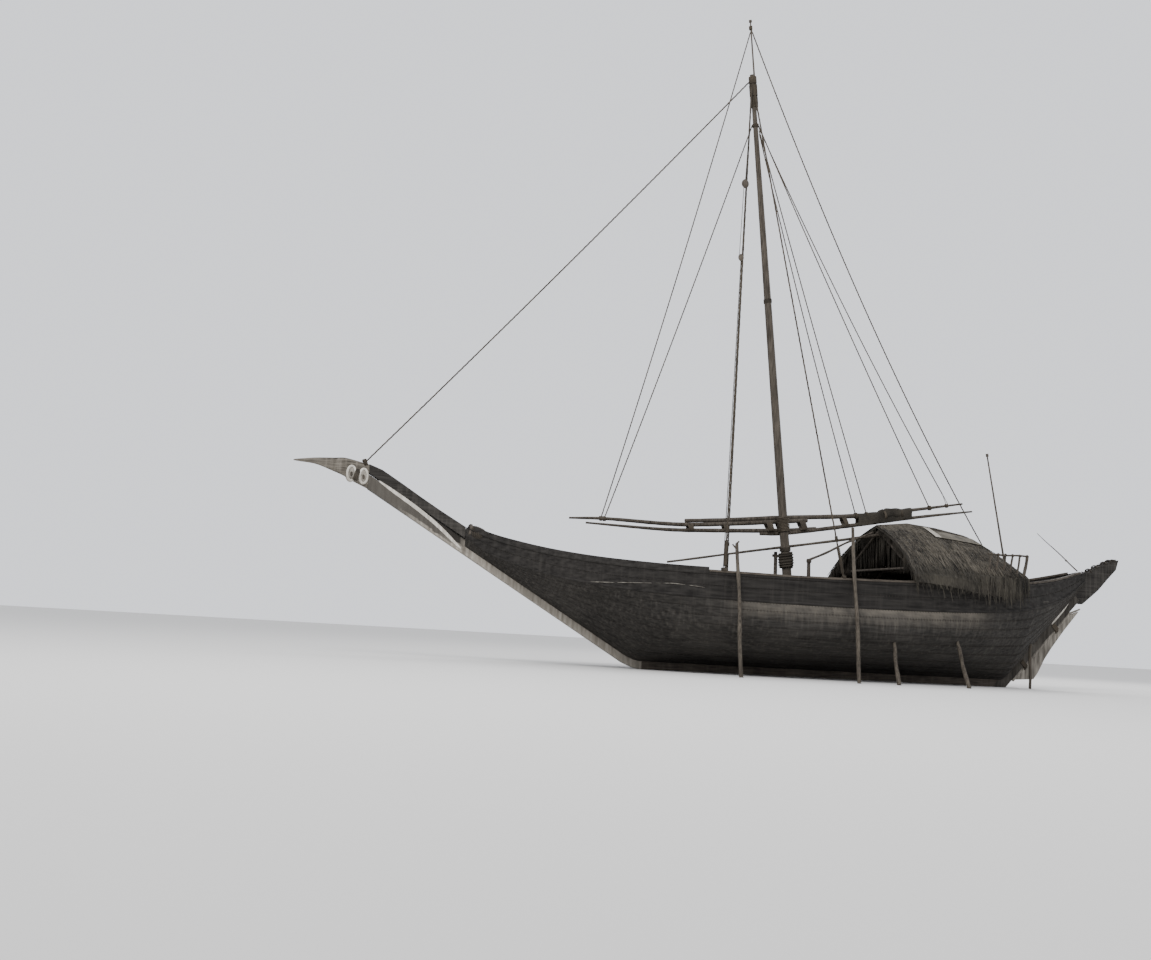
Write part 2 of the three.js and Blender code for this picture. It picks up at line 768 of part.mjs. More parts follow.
// Ribs with their floor timbers, and the keelson with the mast step.
function buildFrames() {
  const block = box(STEP_FROM, STEP_TO, -STEP_HALF, STEP_HALF, KEELSON_TOP - 1, STEP_TOP);
  const [half, low, high] = [KEELSON_HALF, KEELSON_LOW, KEELSON_TOP];
  const timber = box(KEELSON_FROM, KEELSON_TO, -half, half, low, high);
  add("keelson", join(timber, block.subtract(mastSolid(GAP))), "timber");
  const core = hold(RIB);
  const keel = box(-9000, 9000, -TIMBER_HALF - GAP, TIMBER_HALF + GAP, 0, KEEL_DEPTH + GAP);
  FRAME_PLACES.forEach((x, i) => {
    const top = x > POOP_FROM ? POOP_Z - GAP : RIB_TOP_Z;
    const rib = box(x - RIB / 2, x + RIB / 2, -3000, 3000, 0, top).subtract(core);
    const floor = box(x - RIB / 2, x + RIB / 2, -FLOOR_HALF, FLOOR_HALF, KEEL_DEPTH, FLOOR_TOP);
    const frame = insideOfHull(join(rib, floor).subtract(keel));
    add(`frame_${i + 1}`, clearOf(frame, solids.keelson), "timber");
  });
}

function buildBeams() {
  BEAMS.forEach(([x, half], i) => {
    const slab = box(x - half, x + half, -3000, 3000, POOP_Z - BEAM_DEPTH, POOP_Z - GAP);
    add(`cross_beam_${i + 1}`, insideOfHull(slab), "timber");
  });
}

function buildDecks() {
  const poop = box(POOP_FROM, POOP_TO, -3000, 3000, POOP_Z, POOP_Z + DECK_THICK);
  add("poop_deck", insideOfHull(poop), "timber");
  const [from, to] = [FORE_DECK_FROM, FORE_DECK_TO];
  const fore = box(from, to, -3000, 3000, FORE_DECK_Z, FORE_DECK_Z + DECK_THICK);
  add("fore_deck", insideOfHull(fore), "timber");
}

// Mast and what it carries. A point on the mast at a height along it, offset forward and aside.
function onMast(along, forward = 0, side = 0) {
  const [x, y, z] = MAST_HEEL;
  const [sin, cos] = [Math.sin(MAST_RAKE), Math.cos(MAST_RAKE)];
  return [x - along * sin - forward * cos, y + side, z + along * cos - forward * sin];
}

function mastRadius(along) {
  const i = Math.max(1, MAST_HEIGHTS.findIndex((h) => h >= along));
  const t = (along - MAST_HEIGHTS[i - 1]) / (MAST_HEIGHTS[i] - MAST_HEIGHTS[i - 1]);
  return MAST_RADII[i - 1] + (MAST_RADII[i] - MAST_RADII[i - 1]) * t;
}

// A turned piece round the mast's axis, from radii and heights along it.
function turned(profile, sides = SPAR_SIDES) {
  const points = profile.map(([r, h]) => new THREE.Vector2(r, h));
  const geometry = new THREE.LatheGeometry(points, sides);
  geometry.rotateX(Math.PI / 2);
  const matrix = new THREE.Matrix4()
    .makeTranslation(...MAST_HEEL)
    .multiply(new THREE.Matrix4().makeRotationY(-MAST_RAKE));
  return toSolid(geometry, matrix);
}

function mastSolid(grow) {
  const rim = MAST_HEIGHTS.map((h, i) => [MAST_RADII[i] + grow, h]);
  return turned([[0, -grow], [MAST_RADII[0] + grow, -grow], ...rim.slice(1), [0, MAST_LENGTH]]);
}

// A point on the pole at the masthead, by its distance along the mast.
function onPole(along) {
  const offset = mastRadius(TOPMAST_FROM) + TOPMAST_RADIUS;
  return onMast(along, ...TOPMAST_SIDE.map((share) => share * offset));
}

function buildMast() {
  add("mast", mastSolid(0), "spar");
  const pole = bar(onPole(TOPMAST_FROM), onPole(TOPMAST_TO), TOPMAST_RADIUS, 20);
  const knob = bar(onPole(TOPMAST_TO - 60), onPole(TOPMAST_TO), 45);
  add("topmast_pole", clearOf(join(pole, knob), solids.mast), "spar");
}

// The served masthead, which holds the pole and takes every stay.
function buildMasthead() {
  const ring = (grow) =>
    turned(
      [
        [0, COLLAR_FROM - grow],
        [COLLAR_RADIUS + grow, COLLAR_FROM - grow],
        [COLLAR_RADIUS + grow, COLLAR_TO + grow],
        [0, COLLAR_TO + grow],
      ],
      16,
    );
  add("masthead_serving", clearOf(ring(0), solids.mast, solids.topmast_pole), "rope");
  return ring(0);
}

function buildStays(serving) {
  for (const [name, x, side, radius, carrier] of STAYS) {
    const s = stationAt(x);
    const high = name === "backstay";
    const top = high ? onPole(TOPMAST_TO - BACKSTAY_BELOW_TIP) : onMast(COLLAR_TO - 60);
    const foot = new THREE.Vector3(x, side * (strakeY(s) - 20), s.sheer + RAIL_DEPTH);
    if (side === 0) foot.set(x, 0, FORESTAY_FOOT_Z);
    const way = foot.clone().sub(new THREE.Vector3(...top)).normalize();
    const start = new THREE.Vector3(...top).addScaledVector(way, high ? BACKSTAY_OFF_POLE : 0);
    const end = foot.addScaledVector(way, 25);
    const rope = bar([start.x, start.y, start.z], [end.x, end.y, end.z], radius);
    add(name, high ? clearOf(rope, solids[carrier]) : clearOf(rope, serving, solids[carrier]), "rope");
  }
}

// A spar that runs fore and aft, from its centre line and radii.
function spar(path, sides = 8) {
  const ring = ([x, y, z, r]) =>
    Array.from({ length: sides }, (_, i) => {
      const angle = (i / sides) * 2 * Math.PI;
      return [x, y + r * Math.cos(angle), z + r * Math.sin(angle)];
    });
  return loft(path.map(ring));
}

function heightOn(path, x) {
  const i = Math.max(1, path.findIndex((p) => p[0] >= x));
  const t = (x - path[i - 1][0]) / (path[i][0] - path[i - 1][0]);
  return path[i - 1][1] + (path[i][1] - path[i - 1][1]) * t;
}

function buildYard() {
  const place = (path, grow = 0) => spar(path.map(([x, z, r]) => [x, YARD_SIDE, z, r + grow]));
  add("yard", place(YARD), "spar");
  add("boom", place(BOOM).subtract(place(YARD, GAP)), "spar");
  const spars = join(place(YARD, GAP), place(BOOM, GAP));
  const ringSides = 16;
  const inside = (along) => (mastRadius(along) + RUNNING_GAP) / Math.cos(Math.PI / ringSides);
  const inner = inside(PARREL_FROM);
  const band = (r0, r1, from, to) =>
    turned(
      [
        [r0, from],
        [r1, from],
        [r1, to],
        [r0, to],
        [r0, from],
      ],
      16,
    );
  const rings = MAT_BUNDLE.map(([x, low, high, half]) =>
    Array.from({ length: 10 }, (_, i) => {
      const angle = ((i + 0.5) / 10) * 2 * Math.PI;
      const z = (low + high) / 2 + ((high - low) / 2) * Math.sin(angle);
      return [x, YARD_SIDE + half * Math.cos(angle), z];
    }),
  );
  add("mat_bundle", clearOf(loft(rings), place(YARD), solids.boom), "mat");
  const parrel = band(inner - 10, inner + PARREL_THICK, PARREL_FROM, PARREL_TO);
  const wrap = box(1225, 1425, 140, YARD_SIDE + 110, 3890, 4390);
  const room = (from, to) => turned([[0, from], [inside(from), from], [inside(to), to], [0, to]], ringSides);
  const whole = join(parrel, wrap).subtract(room(PARREL_FROM - 400, PARREL_TO + 400));
  add("parrel", largest(whole.subtract(spars)), "rope");

  const grommet = inside(LIFT_AT);
  const rim = grommet + LIFT_RING;
  const ring = band(grommet, rim, LIFT_AT, LIFT_AT + 70);
  const hole = room(LIFT_AT - 900, LIFT_AT + 900);
  const lift = (x, out) => {
    const foot = [x, YARD_SIDE, heightOn(YARD, x)];
    return bar(onMast(LIFT_AT + 35, out), foot, LIFT_RADIUS, LIFT_RADIUS, 6).subtract(spars);
  };
  const fore = join(ring, lift(LIFT_FEET[0], rim - LIFT_RADIUS)).subtract(hole);
  add("yard_lift_fore", largest(fore), "rope");
  add("yard_lift_aft", largest(lift(LIFT_FEET[1], -(rim + LIFT_RADIUS))), "rope");
}

// A point behind the sternpost: along it, out from its back, and to the side.
const POST_LENGTH = Math.hypot(1, POST_SLOPE);
const POST_ALONG = [1 / POST_LENGTH, POST_SLOPE / POST_LENGTH];
function onPost(along, out, side = 0) {
  const x0 = HEEL_X - 220 / POST_SLOPE + POST_OUT;
  const [dx, dz] = POST_ALONG;
  return [x0 + along * dx + out * dz, side, along * dz - out * dx];
}

function buildRudder() {
  const stock = bar(onPost(STOCK_FROM, STOCK_OUT), onPost(STOCK_TO, STOCK_OUT), STOCK, STOCK, 16);
  const ends = [onPost(STOCK_TO - 60, STOCK_OUT), onPost(STOCK_FROM + 20, STOCK_OUT)];
  const outline = [[ends[1][0], ends[1][2]], ...BLADE_EDGE, [ends[0][0], ends[0][2]]];
  const reach = STOCK + LASHING_THICK + 14;
  let blade = plate(outline, -BLADE_HALF, BLADE_HALF);
  for (const along of LASHINGS) {
    const from = onPost(along - LASHING_HALF - 10, STOCK_OUT);
    const to = onPost(along + LASHING_HALF + RUNNING_GAP, STOCK_OUT);
    blade = blade.subtract(bar(from, to, reach, reach, 16));
  }
  add("rudder", join(stock, blade, bar(...TILLER, ...TILLER_RADII)), "pale");

  const [dx, dz] = POST_ALONG;
  const axes = new THREE.Matrix4().makeBasis(
    new THREE.Vector3(dz, 0, -dx),
    new THREE.Vector3(0, 1, 0),
    new THREE.Vector3(dx, 0, dz),
  );
  LASHINGS.forEach((along, i) => {
    const from = onPost(along - LASHING_HALF, STOCK_OUT);
    const to = onPost(along + LASHING_HALF, STOCK_OUT);
    const inner = (STOCK + RUNNING_GAP) / Math.cos(Math.PI / 16);
    const collar = bar(from, to, inner + LASHING_THICK, inner + LASHING_THICK, 16);
    const wide = 2 * (TIMBER_HALF + LASHING_THICK);
    const strap = new THREE.BoxGeometry(150 + STOCK_OUT, wide, 2 * LASHING_HALF);
    const centre = onPost(along, (STOCK_OUT - 150) / 2);
    const matrix = new THREE.Matrix4().makeTranslation(...centre).multiply(axes);
    const hole = bar(
      onPost(along - 200, STOCK_OUT),
      onPost(along + 200, STOCK_OUT),
      inner,
      inner,
      16,
    );
    const whole = join(collar, toSolid(strap, matrix)).subtract(hole);
    add(`rudder_lashing_${i + 1}`, clearOf(whole, postSolid()), "rope");
  });
}

// The roof's section at one row of the table.
function roofRing({ x, z, eaveX, hang, thick }) {
  const s = stationAt(eaveX);
  const rail = strakeY(s) + 8 + (RAIL_WIDTH - PLANK) / 2;
  const knee = [rail + 45, s.sheer + RAIL_DEPTH + 40];
  const eave = [rail + 75, s.sheer - hang];
  const low = [knee[0] + thick * 0.75, knee[1] + thick * 0.75];
  const slope = Math.hypot(low[0], z - low[1]);
  // A point on the outside of the slope, at a share of the way down from the ridge.
  const heaped = (share) => {
    const bulge = thick * THATCH_HEAP * Math.sin(Math.PI * share);
    const y = low[0] * share + (bulge * (z - low[1])) / slope;
    const up = z + (low[1] - z) * share + (bulge * low[0]) / slope;
    return [x + (eaveX - x) * share, -y, up];
  };
  return [
    [eaveX, -knee[0], knee[1]],
    [eaveX, -eave[0], eave[1]],
    [eaveX, -eave[0] - thick * 0.8, eave[1] - 20],
    [eaveX, -low[0], low[1]],
    ...HEAP_SHARES.map(heaped),
    [x, -GAP, z],
    [x, -GAP, z - thick * 1.15],
  ];
}

function buildHouse() {
  const port = loft(ROOF.map(roofRing));
  add("roof_thatch_port", port, "thatch");
  add("roof_thatch_starboard", mirrored(port), "thatch");
  const poles = [];
  for (const x of RAFTERS) {
    const s = stationAt(x);
    const i = Math.max(1, ROOF.findIndex((row) => row.x >= x));
    const t = (x - ROOF[i - 1].x) / (ROOF[i].x - ROOF[i - 1].x);
    const head = ROOF[i - 1].z + (ROOF[i].z - ROOF[i - 1].z) * t - RAFTER_DROP;
    const y = strakeY(s) - 20;
    const foot = s.sheer + RAIL_DEPTH - 20;
    for (const side of [-1, 1]) poles.push(bar([x, side * y, foot], [x, 0, head], ...RAFTER_RADII));
    const tie = s.sheer + TIE_ABOVE_SHEER;
    const tieY = y * (1 - (tie - foot) / (head - foot));
    poles.push(bar([x, -tieY, tie], [x, tieY, tie], TIE_RADIUS));
  }
  const [front, middle, back] = RIDGE_POLE;
  poles.push(bar(front, middle, RIDGE_POLE_RADIUS), bar(middle, back, RIDGE_POLE_RADIUS));
  const rails = join(solids.gunwale_rail_port, solids.gunwale_rail_starboard);
  add("house_frame", clearOf(join(...poles), port, mirrored(port), rails), "pole");
}

function buildShores() {
  const ground = box(-12000, 12000, -4000, 4000, 0, 6000);
  const bits = [
    "gunwale_rail_port",
    "wash_strake_port",
    "side_planking_port",
    "bottom_planking_port",
  ].map((name) => solids[name]);
  const hull = join(...bits);
  for (const [name, x, y, headX, headZ, radius, over] of SHORES) {
    const s = stationAt(headX);
    let top;
    if (over) {
      const railY = strakeY(s) + 8 + (RAIL_WIDTH - PLANK) / 2 + radius * 0.8;
      const share = headZ / (s.sheer + RAIL_DEPTH);
      top = [headX, -(y + (railY - y) * share), headZ];
    } else {
      const line = outsideLine(s);
      const i = Math.max(1, line.findIndex((p) => p[1] >= headZ));
      const t = (headZ - line[i - 1][1]) / (line[i][1] - line[i - 1][1]);
      top = [headX, -(line[i - 1][0] + (line[i][0] - line[i - 1][0]) * t) + 25, headZ];
    }
    const foot = new THREE.Vector3(x, -y, 0);
    const head = new THREE.Vector3(...top);
    const way = head.clone().sub(foot).normalize();
    const below = foot.clone().addScaledVector(way, -60);
    const pole = bar([below.x, below.y, below.z], [head.x, head.y, head.z], radius, radius * 0.85);
    const port = clearOf(pole.intersect(ground), hull);
    add(name, name.endsWith("starboard") ? mirrored(port) : port, "pole");
  }
}

// Rails on the quarters. Their posts come up through the thatch.
function buildQuarterRails() {
  const [fore, aft] = QUARTER_RAIL;
  const ends = [fore, aft].map(([x, y, z]) => [x, -y, z]);
  const bars = [bar(...ends, QUARTER_RAIL_RADIUS)];
  for (const x of QUARTER_POSTS) {
    const t = (x - fore[0]) / (aft[0] - fore[0]);
    const [y, z] = [1, 2].map((k) => fore[k] + (aft[k] - fore[k]) * t);
    const s = stationAt(x - POST_LEAN);
    const foot = [x - POST_LEAN, -(strakeY(s) - 20), s.sheer + RAIL_DEPTH - 20];
    const last = x === QUARTER_POSTS[QUARTER_POSTS.length - 1];
    bars.push(bar(foot, [x, -y, z + 20], ...(last ? END_POST_RADII : POST_RADII)));
  }
  const port = clearOf(join(...bars), solids.gunwale_rail_port, solids.roof_thatch_port);
  add("quarter_rail_port", port, "pole");
  add("quarter_rail_starboard", mirrored(port), "pole");
}

function buildSparePole() {
  const pole = bar(...SPARE_POLE, ...SPARE_POLE_RADII);
  const others = [solids.mast, solids.house_frame, solids.roof_thatch_port, solids.roof_thatch_starboard];
  add("spare_pole", clearOf(pole, ...others), "pole");
}

function buildBitts() {
  const posts = BITT_POSTS.map((ends) => bar(...ends, ...BITT_RADII));
  const beds = BITT_BEDS.map((sides) => box(...sides, POOP_Z + GAP, POOP_Z + BITT_BED_DEPTH));
  const rail = bar(...BITT_BAR, BITT_BAR_RADIUS);
  const whole = join(...beds, rail, ...posts).subtract(box(...BELOW_BITTS));
  add("mast_bitts", clearOf(whole, solids.cross_beam_3, solids.mast), "timber");
}

function buildFlagstaff() {
  const staff = join(bar(...FLAGSTAFF, ...FLAGSTAFF_RADII), bar(...STAFF_KNOB, STAFF_KNOB_RADIUS));
  const above = box(5000, 12000, -900, 900, POOP_Z + DECK_THICK + GAP, 8000);
  const roofs = [solids.roof_thatch_port, solids.roof_thatch_starboard];
  add("flagstaff", clearOf(staff.intersect(above), ...roofs), "pole");
}

buildKeel();
buildStem();
buildSternpost();
buildProw();
buildPlanking();
buildStrakes();
buildRails();
buildFrames();
buildBeams();
buildDecks();
buildMast();
buildStays(buildMasthead());
buildYard();
buildRudder();
buildHouse();
buildShores();
buildBitts();
buildFlagstaff();
buildQuarterRails();
buildSparePole();

export default boat;
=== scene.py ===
import json
import math
import random

import bmesh
import bpy
from mathutils import Matrix, Vector


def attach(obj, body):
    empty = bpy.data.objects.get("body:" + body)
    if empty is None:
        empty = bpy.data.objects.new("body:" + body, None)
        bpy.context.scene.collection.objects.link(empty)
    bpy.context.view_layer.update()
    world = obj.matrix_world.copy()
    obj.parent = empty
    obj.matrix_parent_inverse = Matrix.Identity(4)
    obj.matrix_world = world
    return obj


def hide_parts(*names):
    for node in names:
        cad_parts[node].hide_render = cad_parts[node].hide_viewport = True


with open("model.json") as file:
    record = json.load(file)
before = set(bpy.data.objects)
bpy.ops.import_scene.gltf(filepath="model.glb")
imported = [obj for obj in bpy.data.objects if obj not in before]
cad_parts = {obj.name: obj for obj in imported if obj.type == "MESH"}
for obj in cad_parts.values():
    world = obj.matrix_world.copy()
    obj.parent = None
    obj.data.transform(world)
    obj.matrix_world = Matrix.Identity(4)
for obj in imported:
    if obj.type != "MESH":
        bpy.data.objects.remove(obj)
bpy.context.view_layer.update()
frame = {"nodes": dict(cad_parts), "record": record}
nodes = frame["nodes"]
MM = 0.001

# Camera: off the port bow and a little below the rail, in the frame of the photo
PHOTO_WIDTH = 1151
PHOTO_HEIGHT = 960
FOCAL_PIXELS = 1350
HORIZON_PIXEL = 608
SENSOR = 36
YAW = math.radians(16)
KEEL_TRIM = math.radians(3.394)
FOREFOOT_FROM_CAMERA = Vector((1.70745, 36.05, -1.60759))
FOREFOOT = Vector((-2.655, 0, 0))


def make_camera():
    pitch = math.atan((HORIZON_PIXEL - PHOTO_HEIGHT / 2) / FOCAL_PIXELS)
    level = math.cos(KEEL_TRIM)
    aft = Vector((math.cos(YAW) * level, math.sin(YAW) * level, -math.sin(KEEL_TRIM)))
    starboard = Vector((-math.sin(YAW), math.cos(YAW), 0))
    up = aft.cross(starboard)
    to_boat = Matrix((aft, starboard, up))
    right = to_boat @ Vector((1, 0, 0))
    forward = to_boat @ Vector((0, math.cos(pitch), math.sin(pitch)))
    above = right.cross(forward)
    place = FOREFOOT - to_boat @ FOREFOOT_FROM_CAMERA
    data = bpy.data.cameras.new("bow_camera")
    data.sensor_width = SENSOR
    data.lens = FOCAL_PIXELS / PHOTO_WIDTH * SENSOR
    data.clip_end = 400
    camera = bpy.data.objects.new("bow_camera", data)
    turned = Matrix((right, above, -forward)).transposed().to_4x4()
    camera.matrix_world = Matrix.Translation(place) @ turned
    bpy.context.scene.collection.objects.link(camera)
    bpy.context.scene.camera = camera


def make_light(name, place, aim, size, power):
    data = bpy.data.lights.new(name, "AREA")
    data.size = size
    data.energy = power
    light = bpy.data.objects.new(name, data)
    light.location = place
    light.rotation_mode = "QUATERNION"
    light.rotation_quaternion = (Vector(aim) - Vector(place)).to_track_quat("-Z", "Y")
    bpy.context.scene.collection.objects.link(light)


def make_studio():
    world = bpy.data.worlds.new("studio")
    world.use_nodes = True
    background = world.node_tree.nodes["Background"]
    background.inputs["Color"].default_value = (0.93, 0.95, 1, 1)
    background.inputs["Strength"].default_value = 1.3
    bpy.context.scene.world = world
    make_light("high_light", (-16, -22, 26), (0, 0, 3), 12, 9000)
    make_light("stern_light", (22, 12, 20), (2, 0, 3), 12, 4000)
    mesh = bpy.data.meshes.new("floor")
    reach = 140
    corners = [(-reach, -reach, 0), (reach, -reach, 0), (reach, reach, 0), (-reach, reach, 0)]
    mesh.from_pydata(corners, [], [(0, 1, 2, 3)])
    floor = bpy.data.objects.new("floor", mesh)
    bpy.context.scene.collection.objects.link(floor)
    plain = bpy.data.materials.new("pale_floor")
    plain.use_nodes = True
    surface = plain.node_tree.nodes["Principled BSDF"]
    surface.inputs["Base Color"].default_value = (0.62, 0.61, 0.59, 1)
    surface.inputs["Roughness"].default_value = 0.9
    mesh.materials.append(plain)


# Shader groups that several finishes share


class Wiring:
    """Adds nodes to a tree and joins their sockets."""

    def __init__(self, tree):
        self.tree = tree

    def fill(self, socket, value):
        if isinstance(value, bpy.types.NodeSocket):
            self.tree.links.new(value, socket)
        else:
            socket.default_value = value

    def node(self, kind, inputs=None, **settings):
        made = self.tree.nodes.new(kind)
        for name, value in settings.items():
            setattr(made, name, value)
        for name, value in (inputs or {}).items():
            self.fill(made.inputs[name], value)
        return made

    def feed(self, node, values):
        for label, value in values.items():
            self.tree.links.new(value, node.inputs[label])

    def math(self, operation, a, b=0.0):
        return self.node("ShaderNodeMath", {0: a, 1: b}, operation=operation).outputs[0]

    def span(self, value, low, high, to_low=0.0, to_high=1.0):
        names = {"Value": value, "From Min": low, "From Max": high, "To Min": to_low, "To Max": to_high}
        return self.node("ShaderNodeMapRange", names).outputs["Result"]

    def blend(self, share, first, second):
        made = self.node("ShaderNodeMix", data_type="RGBA")
        for socket, value in ((0, share), (6, first), (7, second)):
            self.fill(made.inputs[socket], value)
        return made.outputs[2]

    def place(self):
        return self.node("ShaderNodeTexCoord").outputs["Object"]

    def place_parts(self):
        return self.node("ShaderNodeSeparateXYZ", {0: self.place()}).outputs

    def noise(self, place, scale, detail):
        names = {"Vector": place, "Scale": scale, "Detail": detail}
        return self.node("ShaderNodeTexNoise", names).outputs["Fac"]

    def stretched_noise(self, scale, stretch, detail=4.0):
        mapped = self.node("ShaderNodeMapping", {"Vector": self.place(), "Scale": stretch})
        return self.noise(mapped.outputs[0], scale, detail)

    def directed_noise(self, stretch, scale, detail):
        """Noise drawn out along a direction that the group is given."""
        along = self.node("ShaderNodeVectorMath", {0: self.place(), 1: stretch}, operation="MULTIPLY")
        return self.noise(along.outputs[0], scale, detail)


def new_group(name, inputs, outputs):
    tree = bpy.data.node_groups.new(name, "ShaderNodeTree")
    for label, kind, value in inputs:
        socket = tree.interface.new_socket(label, in_out="INPUT", socket_type=kind)
        socket.default_value = value
    for label, kind in outputs:
        tree.interface.new_socket(label, in_out="OUTPUT", socket_type=kind)
    given = tree.nodes.new("NodeGroupInput").outputs
    return tree, Wiring(tree), given, tree.nodes.new("NodeGroupOutput")


COLOUR = "NodeSocketColor"
NUMBER = "NodeSocketFloat"
DIRECTION = "NodeSocketVector"


def make_timber_group():
    """Grain along a direction, with run-down streaks, pale bloom and dark stains."""
    tree, w, given, result = new_group(
        "weathered_timber",
        [
            ("Dark", COLOUR, (0.03, 0.025, 0.02, 1)),
            ("Pale", COLOUR, (0.12, 0.1, 0.08, 1)),
            ("Bloom", COLOUR, (0.3, 0.27, 0.22, 1)),
            ("Grain Stretch", DIRECTION, (0.6, 8, 8)),
            ("Grain Scale", NUMBER, 3.0),
            ("Streak Amount", NUMBER, 0.5),
            ("Bloom Amount", NUMBER, 0.3),
        ],
        [("Colour", COLOUR), ("Height", NUMBER), ("Rough", NUMBER)],
    )
    grain = w.directed_noise(given["Grain Stretch"], given["Grain Scale"], 6.0)
    streaks = w.stretched_noise(2.2, (5.0, 5.0, 0.35), 5.0)
    patches = w.stretched_noise(0.9, (1, 1, 1.6), 3.0)
    base = w.blend(w.span(grain, 0.32, 0.7), given["Dark"], given["Pale"])
    streak_share = w.math("MULTIPLY", w.span(streaks, 0.5, 0.78), given["Streak Amount"])
    streaked = w.blend(streak_share, base, given["Bloom"])
    bloom_share = w.math("MULTIPLY", w.span(patches, 0.45, 0.75), given["Bloom Amount"])
    coloured = w.blend(bloom_share, streaked, given["Bloom"])
    rough = w.span(grain, 0.2, 0.8, 0.95, 0.7)
    w.feed(result, {"Colour": coloured, "Height": grain, "Rough": rough})
    return tree


def make_fibre_group():
    """Fine crossing fibres with tone changes from strand to strand."""
    tree, w, given, result = new_group(
        "dry_fibre",
        [
            ("Dark", COLOUR, (0.08, 0.06, 0.04, 1)),
            ("Pale", COLOUR, (0.35, 0.29, 0.2, 1)),
            ("Fibre Stretch", DIRECTION, (8, 8, 1)),
            ("Fibre Scale", NUMBER, 12.0),
            ("Patch Scale", NUMBER, 1.2),
            ("Strand Amount", NUMBER, 0.0),
        ],
        [("Colour", COLOUR), ("Height", NUMBER)],
    )
    fibre = w.directed_noise(given["Fibre Stretch"], given["Fibre Scale"], 5.0)
    patch = w.noise(w.place(), given["Patch Scale"], 3.0)
    strand = w.node("ShaderNodeNewGeometry").outputs["Random Per Island"]
    strand_share = w.math("MULTIPLY", w.span(strand, 0, 1, -0.5, 0.5), given["Strand Amount"])
    share = w.math("ADD", w.span(fibre, 0.3, 0.7, 0, 0.55), w.span(patch, 0.38, 0.62, 0, 0.45))
    share = w.math("ADD", share, strand_share)
    coloured = w.blend(share, given["Dark"], given["Pale"])
    w.feed(result, {"Colour": coloured, "Height": fibre})
    return tree


# The straight part of the stem's lower edge is STEM_LINE below the line z = -STEM_SLOPE x, in metres
STEM_SLOPE = 0.575
STEM_LINE = 1.6766

# Changes of paint along the stem: x where each starts and ends, in metres, and its value there
TAR_BORDER = (-9.0, -7.9, 0.4, 0.15)
TARRED_AHEAD = (-7.75, -7.6, 1, 0)
GREYED_AHEAD = (-8.3, -7.3, 0.88, 0.0)
ALL_GREY_AHEAD = (-9.4, -8.8, 1, 0)
# Height above the lower edge where its limewash ends, in metres
LIMEWASH_END = (0.05, 0.08)
NECK_GREY = (0.045, 0.04, 0.034, 1)


def make_stem_paint():
    """Grey timber towards the prow, tarred above the whitewashed stripe at the neck's foot."""
    tree, w, given, result = new_group(
        "stem_paint",
        [("Colour", COLOUR, (0.3, 0.28, 0.24, 1)), ("Tar", COLOUR, (0.02, 0.017, 0.014, 1))],
        [("Colour", COLOUR)],
    )
    parts = w.place_parts()
    line = w.math("MULTIPLY", parts["X"], STEM_SLOPE)
    above = w.math("ADD", w.math("ADD", parts["Z"], line), STEM_LINE)
    wear = w.span(w.stretched_noise(3.5, (1, 4, 4)), 0.3, 0.7, -0.03, 0.03)
    worn = w.math("ADD", above, wear)
    over_border = w.math("SUBTRACT", worn, w.span(parts["X"], *TAR_BORDER))
    tarred = w.math("MULTIPLY", w.span(over_border, 0.0, 0.02), w.span(parts["X"], *TARRED_AHEAD))
    greyed = w.span(parts["X"], *GREYED_AHEAD)
    low = w.math("MULTIPLY", w.span(worn, *LIMEWASH_END), greyed)
    upper = w.math("MULTIPLY", greyed, w.span(parts["X"], *ALL_GREY_AHEAD))
    grey = w.blend(w.math("MAXIMUM", low, upper), given["Colour"], NECK_GREY)
    w.feed(result, {"Colour": w.blend(tarred, grey, given["Tar"])})
    return tree


# Painted highlight band on the planking below the wash strake, where the planks swell out and face up, in
# metres: z where it starts and is full, and its ends in x
HIGHLIGHT_HEIGHT = (1.42, 1.88)
HIGHLIGHT_FORE = (-1.4, -0.5)
HIGHLIGHT_AFT = (5.8, 6.8, 1, 0)


def make_painted_highlight_band():
    """A painted highlight: a lighter band on the planking below the wash strake amidships, where the planks
    swell out and face up, broken by drips and patches.
    """
    tree, w, given, result = new_group(
        "painted_highlight_band",
        [
            ("Colour", COLOUR, (0.03, 0.025, 0.02, 1)),
            ("Highlight", COLOUR, (0.12, 0.105, 0.085, 1)),
            ("Amount", NUMBER, 0.8),
        ],
        [("Colour", COLOUR)],
    )
    parts = w.place_parts()
    drip = w.span(w.stretched_noise(2.5, (4, 4, 0.3)), 0.3, 0.7, -0.1, 0.1)
    high = w.span(w.math("ADD", parts["Z"], drip), *HIGHLIGHT_HEIGHT)
    fore = w.span(parts["X"], *HIGHLIGHT_FORE)
    aft = w.span(parts["X"], *HIGHLIGHT_AFT)
    patch = w.span(w.stretched_noise(1.6, (1, 1, 2.5)), 0.3, 0.6, 0.35, 1)
    share = w.math("MULTIPLY", w.math("MULTIPLY", high, fore), w.math("MULTIPLY", aft, patch))
    share = w.math("MULTIPLY", share, given["Amount"])
    w.feed(result, {"Colour": w.blend(share, given["Colour"], given["Highlight"])})
    return tree


weathered_timber = make_timber_group()
dry_fibre = make_fibre_group()
stem_paint = make_stem_paint()
painted_highlight_band = make_painted_highlight_band()


DULL_SHINE = 0.25


